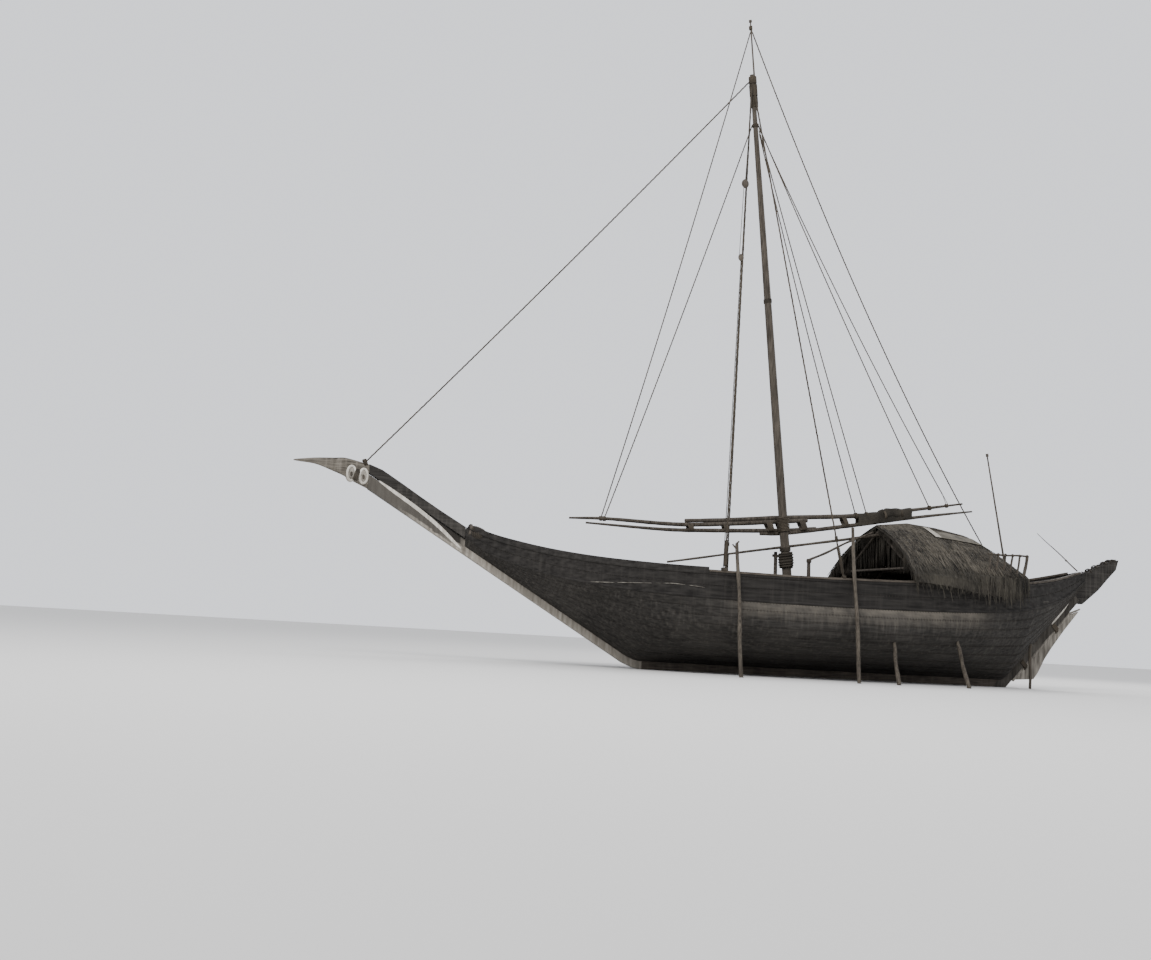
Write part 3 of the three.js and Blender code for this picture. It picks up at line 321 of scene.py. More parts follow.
def new_finish(name, group, values, roughness, bump, bump_distance=0.01, paint=None):
    """A finish from a shader group. With no roughness it takes the group's own."""
    finish = bpy.data.materials.new(name)
    finish.use_nodes = True
    w = Wiring(finish.node_tree)
    surface = finish.node_tree.nodes["Principled BSDF"]
    pattern = w.node("ShaderNodeGroup", node_tree=group)
    for label, value in values.items():
        pattern.inputs[label].default_value = value
    colour = pattern.outputs["Colour"]
    if paint:
        colour = w.node("ShaderNodeGroup", {"Colour": colour}, node_tree=paint).outputs["Colour"]
    names = {"Height": pattern.outputs["Height"], "Strength": bump, "Distance": bump_distance}
    relief = w.node("ShaderNodeBump", names)
    w.feed(surface, {"Base Color": colour, "Normal": relief.outputs["Normal"]})
    w.fill(surface.inputs["Roughness"], pattern.outputs["Rough"] if roughness is None else roughness)
    surface.inputs["Specular IOR Level"].default_value = DULL_SHINE
    return finish


ALONG_BOAT = (0.5, 7, 7)
ALONG_RAKE = (5, 7, 0.8)
UPRIGHT = (8, 8, 0.6)
ALL_WAYS = (3, 3, 3)
LAID_ROPE = (6, 6, 6)
LEAVES = (6, 3, 1.5)
WOVEN = (3, 12, 3)
LOOSE_WEAVE = (2, 5, 3)

# Timber finishes: name, grain direction and scale, streaks, bloom, bump, paint over them,
# and then the dark, pale and bloom tones
TIMBERS = [
    # The dark planking carries a painted highlight band below the wash strake
    ("dark_planking", ALONG_BOAT, 3.0, 0.5, 0.25, 0.4, painted_highlight_band,
     (0.0105, 0.0093, 0.008), (0.029, 0.026, 0.0225), (0.078, 0.07, 0.061)),
    ("tarred_strake", ALONG_BOAT, 2.0, 0.35, 0.15, 0.3, None,
     (0.007, 0.006, 0.0052), (0.022, 0.0195, 0.017), (0.044, 0.039, 0.034)),
    ("limewashed_timber", ALONG_RAKE, 2.5, 0.55, 0.45, 0.5, None,
     (0.16, 0.14, 0.115), (0.36, 0.33, 0.28), (0.09, 0.078, 0.064)),
    ("grey_timber", ALONG_BOAT, 4.0, 0.3, 0.3, 0.5, None,
     (0.022, 0.018, 0.0145), (0.08, 0.066, 0.052), (0.13, 0.112, 0.09)),
    ("spar_timber", UPRIGHT, 4.0, 0.35, 0.25, 0.45, None,
     (0.022, 0.018, 0.014), (0.075, 0.062, 0.048), (0.14, 0.12, 0.095)),
    ("mangrove_pole", UPRIGHT, 5.0, 0.4, 0.3, 0.6, None,
     (0.022, 0.018, 0.014), (0.08, 0.066, 0.051), (0.15, 0.13, 0.1)),
    ("stem_timber", ALONG_RAKE, 2.5, 0.5, 0.4, 0.5, stem_paint,
     (0.17, 0.15, 0.125), (0.36, 0.33, 0.28), (0.1, 0.088, 0.072)),
    ("rudder_timber", ALONG_RAKE, 3.0, 0.6, 0.5, 0.5, None,
     (0.12, 0.108, 0.09), (0.34, 0.31, 0.265), (0.06, 0.053, 0.044)),
    ("sternpost_timber", ALONG_RAKE, 3.0, 0.3, 0.3, 0.5, None,
     (0.02, 0.0175, 0.0145), (0.06, 0.053, 0.044), (0.13, 0.118, 0.1)),
    ("beak_timber", ALONG_BOAT, 4.0, 0.5, 0.4, 0.6, None,
     (0.035, 0.03, 0.024), (0.13, 0.115, 0.093), (0.28, 0.25, 0.21)),
    ("whitewash", ALONG_RAKE, 4.0, 0.35, 0.3, 0.4, None,
     (0.38, 0.35, 0.3), (0.62, 0.59, 0.53), (0.2, 0.175, 0.14)),
    ("eye_white", ALL_WAYS, 4.0, 0.4, 0.5, 0.4, None,
     (0.13, 0.118, 0.098), (0.32, 0.295, 0.255), (0.07, 0.062, 0.051)),
    ("sun_whitened", ALL_WAYS, 3.0, 0.6, 0.6, 0.3, None,
     (0.05, 0.045, 0.038), (0.24, 0.22, 0.19), (0.04, 0.035, 0.03)),
]

# Fibre finishes: name, fibre direction and scale, patch scale, strand amount, roughness, bump,
# bump distance, and then the dark and pale tones
FIBRES = [
    ("palm_thatch", LEAVES, 5.0, 1.1, 0.9, 0.95, 0.7, 0.01,
     (0.007, 0.006, 0.0047), (0.09, 0.078, 0.06)),
    ("shaded_thatch", LEAVES, 5.0, 1.1, 0.9, 0.95, 0.7, 0.01,
     (0.005, 0.0043, 0.0034), (0.05, 0.044, 0.034)),
    ("coir_rope", LAID_ROPE, 25.0, 3.0, 0.0, 0.95, 0.6, 0.004,
     (0.019, 0.0155, 0.0115), (0.08, 0.065, 0.047)),
    ("dark_rope", LAID_ROPE, 25.0, 3.0, 0.0, 0.95, 0.6, 0.004,
     (0.012, 0.01, 0.008), (0.06, 0.05, 0.038)),
    ("tarred_rope", LAID_ROPE, 25.0, 1.0, 0.0, 0.95, 0.5, 0.004,
     (0.012, 0.0105, 0.009), (0.05, 0.043, 0.035)),
    ("woven_mat", WOVEN, 6.0, 2.6, 0.0, 0.9, 0.6, 0.005,
     (0.06, 0.052, 0.04), (0.3, 0.27, 0.21)),
    ("dark_mat", WOVEN, 14.0, 2.5, 0.0, 0.95, 0.7, 0.006,
     (0.007, 0.006, 0.0047), (0.05, 0.043, 0.033)),
    ("grey_mat", LOOSE_WEAVE, 7.0, 2.6, 0.0, 0.95, 0.7, 0.006,
     (0.012, 0.0105, 0.008), (0.15, 0.132, 0.102)),
    ("limewashed_mat", WOVEN, 14.0, 2.0, 0.0, 0.9, 0.5, 0.005,
     (0.22, 0.2, 0.17), (0.46, 0.43, 0.37)),
]


def make_finishes():
    made = {}
    for name, stretch, scale, streaks, bloom, bump, paint, dark_tone, pale_tone, bloom_tone in TIMBERS:
        values = {
            "Dark": (*dark_tone, 1),
            "Pale": (*pale_tone, 1),
            "Bloom": (*bloom_tone, 1),
            "Grain Stretch": stretch,
            "Grain Scale": scale,
            "Streak Amount": streaks,
            "Bloom Amount": bloom,
        }
        made[name] = new_finish(name, weathered_timber, values, None, bump, paint=paint)
    for name, stretch, scale, patches, strands, roughness, bump, distance, dark_tone, pale_tone in FIBRES:
        values = {
            "Dark": (*dark_tone, 1),
            "Pale": (*pale_tone, 1),
            "Fibre Stretch": stretch,
            "Fibre Scale": scale,
            "Patch Scale": patches,
            "Strand Amount": strands,
        }
        made[name] = new_finish(name, dry_fibre, values, roughness, bump, distance)
    return made


finishes = make_finishes()


# Finishes of their own for some of the solids that show
OWN_FINISH = {
    "stem": "stem_timber",
    "sternpost": "sternpost_timber",
    "rudder": "rudder_timber",
    "house_frame": "grey_timber",
}


def dress_solids():
    slot_of = {row["node"]: row["material_slot"] for row in frame["record"]["subparts"]}
    for name, solid in nodes.items():
        finish = finishes[OWN_FINISH.get(name, slot_of[name])]
        solid.data.materials.clear()
        solid.data.materials.append(finish)


# The hull's lines, in millimetres: x, wale, sheer, half beam, fullness, tumblehome
LINES = [
    (-7600, 3120, 3380, 205, 0.0, 0.0),
    (-7000, 2720, 3150, 400, 0.0, 0.0),
    (-6200, 2420, 2950, 780, 0.1, 0.0),
    (-5400, 2220, 2800, 1180, 0.2, 0.0),
    (-4500, 2080, 2690, 1600, 0.35, 0.0),
    (-3500, 1980, 2620, 2000, 0.55, 0.0),
    (-2500, 1930, 2585, 2290, 0.75, 0.01),
    (-1000, 1890, 2575, 2570, 0.92, 0.03),
    (500, 1880, 2570, 2720, 1.0, 0.05),
    (2000, 1890, 2600, 2760, 1.0, 0.06),
    (3500, 1910, 2640, 2680, 1.0, 0.06),
    (5000, 1950, 2710, 2460, 0.92, 0.05),
    (6500, 2020, 2790, 2080, 0.75, 0.04),
    (7800, 2130, 2880, 1620, 0.5, 0.02),
    (8800, 2290, 3000, 1190, 0.3, 0.0),
    (9600, 2520, 3140, 820, 0.15, 0.0),
    (10300, 2840, 3310, 480, 0.0, 0.0),
    (10850, 3190, 3460, 215, 0.0, 0.0),
]
HULL_FORE = LINES[0][0]
HULL_AFT = LINES[-1][0]
FOREFOOT_X = -2655
HEEL_X = 8275
TIMBER_HALF = 110
PLANK_START = TIMBER_HALF + 0.3
KEEL_TOP = 200
HEEL_TOP = 220
STEM_DROP = 150
POST_SLOPE = 1.088
WIDEST = 0.74
BILGE_POWER = 2.4
FLARE_POWER = 1.05
# Share of the height, each way, over which the planking's slope is taken
SLOPE_SPAN = 0.02
PLANK = 55
STRAKE_SET_IN = 12
STRAKE_FLARE = 8
LINING_DROP = 20
BULWARK_FORE_X = -7400
BULWARK_AFT_X = -1770
BULWARK_HEIGHT = 120
RAIL_DEPTH = 55
RAIL_OVER = 32.5
RAIL_INSET = 20
SIDES = {"port": -1, "starboard": 1}

# The mast's heel in millimetres and its rake in radians
MAST_HEEL = (1722, 0, 620)
MAST_RAKE = 0.1197

FORE_AND_AFT = Vector((1, 0, 0))
FORWARD = Vector((-1, 0, 0))


def mm(x, y, z):
    return Vector((x, y, z)) * MM


def evenly(start, end, count):
    """Values in that many equal steps, with both ends."""
    return [start + (end - start) * i / count for i in range(count + 1)]


def stations(rows, count):
    """Values of x in that many equal steps along a table."""
    return evenly(rows[0][0], rows[-1][0], count)


def around(count):
    """Angles of that many points round a ring."""
    return [2 * math.pi * k / count for k in range(count)]


def smooth_row(rows, x):
    """A row at x, faired between the rows of a table whose first column is x."""
    i = max(0, min(len(rows) - 2, sum(1 for row in rows if row[0] <= x) - 1))
    a, b = rows[max(i - 1, 0)], rows[i]
    c, d = rows[i + 1], rows[min(i + 2, len(rows) - 1)]
    run = c[0] - b[0]
    t = (x - b[0]) / run
    faired = []
    for column in range(1, len(b)):
        here = (c[column] - b[column]) / run
        at_b = here if a is b else (c[column] - a[column]) / (c[0] - a[0])
        at_c = here if c is d else (d[column] - b[column]) / (d[0] - b[0])
        faired.append(
            b[column] * (2 * t**3 - 3 * t**2 + 1)
            + c[column] * (3 * t**2 - 2 * t**3)
            + run * (at_b * (t**3 - 2 * t**2 + t) + at_c * (t**3 - t**2))
        )
    return faired


def stem_edge(x):
    ahead = FOREFOOT_X - x
    blend = 2 * STEM_DROP / STEM_SLOPE
    if ahead <= 0:
        return 0
    if ahead < blend:
        return STEM_SLOPE / (2 * blend) * ahead**2
    return STEM_SLOPE * ahead - STEM_DROP


def rabbet(x):
    if x < FOREFOOT_X:
        return KEEL_TOP + stem_edge(x)
    return max(KEEL_TOP, HEEL_TOP + POST_SLOPE * (x - HEEL_X))


def hull_skin(x, share, depth=0.0, side=-1):
    """A point on the planking at x and a share of the way up to the wale, set in by a depth."""
    wale, _, beam, full, tumble = smooth_row(LINES, x)
    bottom = rabbet(x)

    def place(share):
        low = min(max(share, 0) / WIDEST, 1)
        high = max((share - WIDEST) / (1 - WIDEST), 0)
        rounded = 1 - (1 - low) ** BILGE_POWER - tumble * high**2
        flared = max(share, 0) ** FLARE_POWER
        out = PLANK_START + (beam - PLANK_START) * (full * rounded + (1 - full) * flared)
        return out, bottom + (wale - bottom) * share

    y, z = place(share)
    y0, z0 = place(share - SLOPE_SPAN)
    y1, z1 = place(share + SLOPE_SPAN)
    run, rise = y1 - y0, z1 - z0
    length = math.hypot(run, rise) or 1
    y = max(y - rise / length * depth, PLANK_START)
    z += run / length * depth
    return mm(x, side * y, z)


def strake_y(x):
    """Outside half breadth of the wash strake, and its wale and sheer heights."""
    wale, sheer, beam, full, tumble = smooth_row(LINES, x)
    share = full * (1 - tumble) + (1 - full)
    return PLANK_START + (beam - PLANK_START) * share - STRAKE_SET_IN, wale, sheer


def on_rail(x, side):
    """A point on the gunwale rail at x."""
    y, _, sheer = strake_y(x)
    return mm(x, side * (y - RAIL_INSET), sheer + RAIL_DEPTH)


def on_mast(along, forward=0.0, side=0.0):
    """A point at a length along the mast, offset forward and aside in millimetres."""
    sin, cos = math.sin(MAST_RAKE), math.cos(MAST_RAKE)
    x = MAST_HEEL[0] - along * sin - forward * cos
    z = MAST_HEEL[2] + along * cos - forward * sin
    return mm(x, side, z)


MAST_AXIS = on_mast(1) - on_mast(0)


class Shape:
    """Points and faces of a piece in the making, in metres."""

    def __init__(self):
        self.points = []
        self.faces = []

    def add(self, points, faces):
        offset = len(self.points)
        self.points += [tuple(p) for p in points]
        self.faces += [tuple(i + offset for i in face) for face in faces]

    def loft(self, rings):
        """Skin over rings of points that all have the same count, closed at both ends."""
        n = len(rings[0])
        points = [p for ring in rings for p in ring]
        faces = []
        for r in range(len(rings) - 1):
            for i in range(n):
                j = (i + 1) % n
                faces.append((r * n + i, r * n + j, (r + 1) * n + j, (r + 1) * n + i))
        last = (len(rings) - 1) * n
        faces.append(tuple(range(n - 1, -1, -1)))
        faces.append(tuple(last + i for i in range(n)))
        self.add(points, faces)

    def panel(self, outside, inside):
        """A panel with thickness from two grids of points of the same size."""
        rows, columns = len(outside), len(outside[0])
        offset = rows * columns
        faces = []
        for r in range(rows - 1):
            for c in range(columns - 1):
                a, b = r * columns + c, r * columns + c + 1
                d, e = a + columns, b + columns
                faces.append((a, b, e, d))
                faces.append((a + offset, d + offset, e + offset, b + offset))
        rim = list(range(columns))
        rim += [r * columns + columns - 1 for r in range(1, rows)]
        rim += [(rows - 1) * columns + c for c in range(columns - 2, -1, -1)]
        rim += [r * columns for r in range(rows - 2, 0, -1)]
        for a, b in zip(rim, rim[1:] + rim[:1]):
            faces.append((b, a, a + offset, b + offset))
        self.add([p for row in outside + inside for p in row], faces)

    def tube(self, path, radius, sides=8, lobes=0, pitch=0.2, depth=0.15):
        """A round bar along a path. radius is one number or one for each point. With lobes
        it is laid up like rope, with that many strands and one turn every pitch."""
        path = [Vector(p) for p in path]
        radii = radius if isinstance(radius, (list, tuple)) else [radius] * len(path)
        way = (path[1] - path[0]).normalized()
        side = way.orthogonal().normalized()
        rings, run = [], 0.0
        for i, point in enumerate(path):
            if i:
                run += (point - path[i - 1]).length
            ahead = path[min(i + 1, len(path) - 1)] - path[max(i - 1, 0)]
            if ahead.length > 1e-9:
                way = ahead.normalized()
            side = (side - way * side.dot(way)).normalized()
            up = way.cross(side)
            ring = []
            for angle in around(sides):
                reach = radii[i]
                if lobes:
                    twist = 2 * math.pi * run / pitch / lobes
                    reach *= 1 - depth + depth * math.cos(lobes * (angle - twist))
                ring.append(point + (side * math.cos(angle) + up * math.sin(angle)) * reach)
            for p in ring:
                p.z = max(p.z, 0)
            rings.append(ring)
        self.loft(rings)

    def rope(self, start, end, radius, sag=0.0, step=0.05):
        """A laid rope from point to point, with a sag in the middle."""
        start, end = Vector(start), Vector(end)
        count = max(2, int((end - start).length / step))
        path = []
        for t in evenly(0, 1, count):
            path.append(start.lerp(end, t) - Vector((0, 0, 4 * sag * t * (1 - t))))
        self.tube(path, radius, 9, lobes=3, pitch=radius * 9)

    def coil(self, centre, axis, radius, rope_radius, turns, length, sides=6, per_turn=18, squash=(1, 1)):
        """Turns of rope round an axis, spread over a length along it."""
        axis = Vector(axis).normalized()
        one = axis.orthogonal().normalized()
        if abs(axis.x) < 0.9:
            one = (FORE_AND_AFT - axis * axis.x).normalized()
        other = axis.cross(one)
        path = []
        for i in range(int(turns * per_turn) + 1):
            angle = 2 * math.pi * i / per_turn
            lift = length * (i / (turns * per_turn) - 0.5)
            flat = one * math.cos(angle) * squash[0] + other * math.sin(angle) * squash[1]
            path.append(Vector(centre) + flat * radius + axis * lift)
        self.tube(path, rope_radius, sides)

    def lash(self, centre, axis, halves, rope_radius, turns, length, sides=6, per_turn=20):
        """Turns of rope round something oval, whose two half sizes are in millimetres."""
        self.coil(centre, axis, MM, rope_radius, turns, length, sides, per_turn, halves)

    def pole(self, start, end, r0, r1, chance, bend=0.0, sides=12, steps=14, knots=0.06):
        """A natural pole: slightly crooked, tapered and knotty."""
        start, end = Vector(start), Vector(end)
        way = (end - start).normalized()
        one = way.orthogonal().normalized()
        other = way.cross(one)
        phase = [chance.uniform(0, 6.28) for _ in range(4)]
        path, radii = [], []
        for t in evenly(0, 1, steps):
            hold = math.sin(math.pi * t)
            first = one * math.sin(2.2 * math.pi * t + phase[0])
            second = other * math.sin(1.7 * math.pi * t + phase[1])
            path.append(start.lerp(end, t) + (first + second) * bend * hold)
            swell = 1 + knots * math.sin(9 * t + phase[2]) * math.sin(23 * t + phase[3])
            radii.append((r0 + (r1 - r0) * t) * swell)
        self.tube(path, radii, sides)

    def piece(self, name, finish, body="hull", replaces=(), slot=None, smooth=True, angle=40):
        mesh = bpy.data.meshes.new(name)
        mesh.from_pydata(self.points, [], self.faces)
        mesh.update()
        mesh.materials.append(finishes[finish])
        outward(mesh)
        made = bpy.data.objects.new(name, mesh)
        bpy.context.scene.collection.objects.link(made)
        if smooth:
            mesh.shade_smooth()
            mesh.set_sharp_from_angle(angle=math.radians(angle))
        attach(made, body)
        if replaces:
            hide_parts(*replaces)
        return made


def outward(mesh):
    """Turns every face of a closed mesh outward."""
    work = bmesh.new()
    work.from_mesh(mesh)
    bmesh.ops.recalc_face_normals(work, faces=work.faces)
    work.to_mesh(mesh)
    work.free()


# Sewn planking: nine planks a side, with the share of the height at each seam
SEAMS = [0, 0.07, 0.15, 0.25, 0.37, 0.5, 0.625, 0.75, 0.875, 1]
# Outside of one plank from seam to seam: share of its breadth, and depth below the hull's lines
SEAM_PROFILE = [(0.0, 10), (0.05, 2), (0.14, -1), (0.5, -4), (0.86, -1), (0.95, 2)]
PLANK_COLUMNS = 110
STITCH_STEP = 88
STITCH_HALF = 34
BUTT_STITCHES = 5
# Joints between the planks of a strake: first x, step from strake to strake, last x, distance apart
BUTT_START = -5200
BUTT_SHIFT = 1300
BUTT_END = 9000
BUTT_STEP = 3900


def plank_shares():
    rows = []
    for low, high in zip(SEAMS, SEAMS[1:]):
        rows += [(low + (high - low) * t, depth) for t, depth in SEAM_PROFILE]
    return rows + [(1, 3)]


def make_planking():
    for label, side in SIDES.items():
        chance = random.Random(11 + side)
        tilt = [chance.uniform(-2.5, 2.5) for _ in SEAMS]
        rows = [
            (share, depth + tilt[k // len(SEAM_PROFILE)]) for k, (share, depth) in enumerate(plank_shares())
        ]
        columns = stations(LINES, PLANK_COLUMNS)
        shape = Shape()
        shape.panel(
            [[hull_skin(x, share, depth, side) for share, depth in rows] for x in columns],
            [[hull_skin(x, share, PLANK, side) for share, _ in rows] for x in columns],
        )
        hidden = [f"bottom_planking_{label}", f"side_planking_{label}"]
        shape.piece(f"sewn_planks_{label}", "dark_planking", replaces=hidden, angle=25)
        make_stitches(label, side)


# A stitch's cord, in metres: its width, its crown above the plank and its feet below
STITCH_WIDTH = 0.011
STITCH_CROWN = 0.009
STITCH_FEET = -0.004


def stitch(shape, a, b, across, out):
    """One stitch: a low bridge of cord from a to b."""
    across = across * STITCH_WIDTH / 2
    low = out * STITCH_FEET
    crown = out * STITCH_CROWN
    points = [a - across + low, a + across + low, b + across + low, b - across + low]
    points += [a.lerp(b, 0.22) + crown, a.lerp(b, 0.78) + crown]
    faces = [(0, 1, 4), (1, 2, 5, 4), (2, 3, 5), (3, 0, 4, 5), (3, 2, 1, 0)]
    shape.add(points, faces)


def make_stitches(label, side):
    chance = random.Random(31 + side)
    shape = Shape()
    for share in SEAMS[1:]:
        for x in range(HULL_FORE + 60, HULL_AFT - 60, STITCH_STEP):
            wale = smooth_row(LINES, x)[0]
            reach = STITCH_HALF / max(wale - rabbet(x), 300)
            a = hull_skin(x + chance.uniform(-6, 6), max(share - reach, 0), 0, side)
            b = hull_skin(x + chance.uniform(-6, 6), min(share + reach, 1.0), 0, side)
            up = (b - a).normalized()
            stitch(shape, a, b, FORE_AND_AFT, up.cross(FORE_AND_AFT) * -side)
    for k, (low, high) in enumerate(zip(SEAMS, SEAMS[1:])):
        for x in range(BUTT_START + BUTT_SHIFT * (k % 3), BUTT_END, BUTT_STEP):
            add_butt(shape, x + chance.uniform(-300, 300), low, high, side)
    shape.piece(f"seam_stitches_{label}", "tarred_rope", slot="coir_rope", smooth=False)


def add_butt(shape, x, low, high, side):
    """Stitches across the joint between two planks of one strake."""
    for i in range(BUTT_STITCHES):
        share = low + (high - low) * (i + 0.7) / (BUTT_STITCHES + 0.4)
        a = hull_skin(x - STITCH_HALF, share, 0, side)
        b = hull_skin(x + STITCH_HALF, share, 0, side)
        up = (hull_skin(x, share + 0.01, 0, side) - hull_skin(x, share, 0, side)).normalized()
        stitch(shape, a, b, up, up.cross(FORE_AND_AFT) * -side)


# Wash strake: its outside from the wale up, as proud and share of its own height
STRAKE_PROFILE = [
    (0, 0.0),
    (20, 0.01),
    (26, 0.03),
    (26, 0.07),
    (16, 0.095),
    (2, 0.1),
    (1, 0.48),
    (-7, 0.495),
    (1, 0.51),
    (3, 0.9),
    (16, 0.905),
    (24, 0.925),
    (24, 0.975),
    (14, 0.998),
]
STRAKE_SEAM = 0.495
STRAKE_COLUMNS = 120


def strake_ring(x, side):
    y, wale, sheer = strake_y(x)
    top = sheer + (BULWARK_HEIGHT if BULWARK_FORE_X <= x < BULWARK_AFT_X else 0)
    foot = wale + 1
    section = [
        (y + proud + STRAKE_FLARE * share, foot + (sheer - foot) * share) for proud, share in STRAKE_PROFILE
    ]
    section += [(y + STRAKE_FLARE, top), (y + STRAKE_FLARE - PLANK, top)]
    section += [(y + STRAKE_FLARE - PLANK, sheer - LINING_DROP), (y - PLANK, foot)]
    return [mm(x, side * out, z) for out, z in section]


def make_strakes():
    columns = stations(LINES, STRAKE_COLUMNS)
    columns += [BULWARK_FORE_X - 2, BULWARK_FORE_X, BULWARK_AFT_X - 2, BULWARK_AFT_X]
    for label, side in SIDES.items():
        shape = Shape()
        shape.loft([strake_ring(x, side) for x in sorted(set(columns))])
        hidden = [f"wash_strake_{label}"]
        shape.piece(f"wash_strake_boards_{label}", "tarred_strake", replaces=hidden, angle=30)
        make_strake_stitches(label, side)


def make_strake_stitches(label, side):
    chance = random.Random(41 + side)
    shape = Shape()
    for x in range(HULL_FORE + 80, HULL_AFT - 80, STITCH_STEP):
        y, wale, sheer = strake_y(x)
        middle = wale + (sheer - wale) * STRAKE_SEAM
        shift = chance.uniform(-6, 6)
        a = mm(x + shift, side * (y + 4), middle - 30)
        b = mm(x, side * (y + 5), middle + 30)
        stitch(shape, a, b, FORE_AND_AFT, Vector((0, side, 0)))
    shape.piece(f"strake_stitches_{label}", "tarred_rope", slot="coir_rope", smooth=False)


# House roof: ridge x, ridge z, eave x, hang below the sheer, thickness, as in the solids
ROOF = [
    (4150, 4350, 3950, -60, 130),
    (5100, 4470, 5050, 60, 130),
    (6000, 4400, 6050, 240, 130),
    (6900, 4260, 6950, 320, 130),
    (7550, 3870, 7600, 300, 104),
    (8050, 3450, 8000, 180, 65),
]
STERN_END = len(ROOF) - 1
RAIL_OUT = STRAKE_FLARE + RAIL_OVER
# How far the slopes bulge, as a share of the thickness
THATCH_HEAP = 1.35
# The thatch bends down over the rail at a knee: how far out and up it lies, and the eave's reach,
# each with its share of the thickness
KNEE_OUT = 45
KNEE_UP = 40
KNEE_SHARE = 0.75
EAVE_OUT = 75
EAVE_SHARE = 0.8
EAVE_DROP = 20


def roof_row(u):
    """The roof's driving dimensions at u, from 0 at the front gable to 5 at the stern."""
    i = min(int(max(u, 0)), len(ROOF) - 2)
    return [a + (b - a) * (u - i) for a, b in zip(ROOF[i], ROOF[i + 1])]


def roof_point(u, v, side, proud=0.0):
    """A point on the thatch at u along the house and v from the ridge down to the eave.
    Past 1 it runs on down below the eave."""
    x, ridge, eave_x, hang, thick = roof_row(u)
    y, _, sheer = strake_y(eave_x)
    rail = y + RAIL_OUT
    knee = (rail + KNEE_OUT + thick * KNEE_SHARE, sheer + RAIL_DEPTH + KNEE_UP + thick * KNEE_SHARE)
    eave = (rail + EAVE_OUT + thick * EAVE_SHARE, sheer - hang - EAVE_DROP)
    slope = math.hypot(knee[0], knee[1] - ridge)
    drop = knee[1] - eave[1]
    bend = slope / (slope + drop)
    if v < bend:
        along = v / bend
        bow = (THATCH_HEAP * thick + 20) * math.sin(math.pi * along)
        facing = ((ridge - knee[1]) / slope, knee[0] / slope)
        at = (knee[0] * along + bow * facing[0], ridge + (knee[1] - ridge) * along + bow * facing[1])
    else:
        along = 1
        t = (v - bend) / (1 - bend)
        facing = (1, 0.1)
        at = (knee[0] + (eave[0] - knee[0]) * t, knee[1] + (eave[1] - knee[1]) * t)
    at = (at[0] + facing[0] * proud, at[1] + facing[1] * proud)
    return mm(x + (eave_x - x) * along, side * at[0], at[1])


COURSES = 10
BLADES = 300
# Courses that end past this share of the slope are in the shade of the eave
SHADED_PAST = 0.85
# The bed under the leaves: how proud it lies, and its share of the thickness
BED_PROUD = -24
BED_SHARE = 0.55
# How far leaves at the eave may reach past it
EAVE_TIPS = [0, 0.01, 0.03, 0.06, 0.09, 0.13]
LEAF_ROOT = -8
# How far leaf tips may reach past the two ends of the roof, along u
PAST_GABLE = 0.02
PAST_STERN = 0.04
# Near the ridge and the front gable, up to this share of the slope and this u, tips lie low
FLAT_SLOPE = 0.25
FLAT_AFT = 1.6
GABLE_LEAVES = 210
GABLE_FRONDS = 260
FROND_FLOOR = 2.95


def blade(shape, root, tip, side_way, width, crown):
    """One leaf strip, thick along its middle, from root to tip."""
    middle = root.lerp(tip, 0.55)
    up = crown.normalized()
    points = []
    for at, w, h in ((root, width, 0.007), (middle, width * 0.85, 0.008), (tip, width * 0.2, 0.002)):
        points += [at - side_way * w / 2, at + side_way * w / 2, at + up * h]
    faces = [(2, 1, 0), (6, 7, 8)]
    for r in (0, 3):
        for i in range(3):
            j = (i + 1) % 3
            faces.append((r + i, r + j, r + 3 + j, r + 3 + i))
    shape.add(points, faces)


def ridge_to_eave(u, side, proud):
    """Points down one slope, from a first one on the boat's middle."""
    row = [roof_point(u, v, side, proud) for v in evenly(0, 1, 12)]
    row[0].y = 0
    return row


def make_thatch():
    for label, side in SIDES.items():
        chance = random.Random(61 + side)
        leaves, bed = Shape(), Shape()
        lengthwise = evenly(0, STERN_END, 40)
        bed.panel(
            [ridge_to_eave(u, side, BED_PROUD) for u in lengthwise],
            [ridge_to_eave(u, side, BED_PROUD - BED_SHARE * roof_row(u)[4]) for u in lengthwise],
        )
        for course in range(COURSES):
            low = 1.0 - course / COURSES
            layer = bed if low > SHADED_PAST else leaves
            for k in range(BLADES):
                lay_leaf(layer, chance, side, STERN_END * (k + chance.random()) / BLADES, low)
        leaves.piece(f"leaf_thatch_{label}", "palm_thatch", smooth=False)
        hidden = [f"roof_thatch_{label}"]
        bed.piece(f"thatch_bed_{label}", "shaded_thatch", replaces=hidden, slot="palm_thatch", smooth=False)


def lay_leaf(shape, chance, side, u, low):
    """One leaf of a course whose lower edge is at low."""
    reach = chance.uniform(0.11, 0.2)
    skew = chance.uniform(-0.12, 0.12)
    tip_v = low + chance.uniform(-0.02, 0.035)
    root_v = max(tip_v - reach - 0.06, 0.0)
    if low > 0.99:
        tip_v += chance.choice(EAVE_TIPS) * chance.random()
    lift = chance.uniform(-4, 16)
    if low < FLAT_SLOPE and u < FLAT_AFT:
        lift = min(lift, 2)
    root = roof_point(min(max(u, 0), STERN_END), root_v, side, LEAF_ROOT)
    tip = roof_point(min(max(u + skew, -PAST_GABLE), STERN_END + PAST_STERN), tip_v, side, lift)
    way = (tip - root).normalized()
    foot_u, foot_v = min(u, STERN_END), min(tip_v, 1)
    out = roof_point(foot_u, foot_v, side, 60) - roof_point(foot_u, foot_v, side, 0)
    across = way.cross(out).normalized()
    blade(shape, root, tip, across, chance.uniform(0.022, 0.05), out)


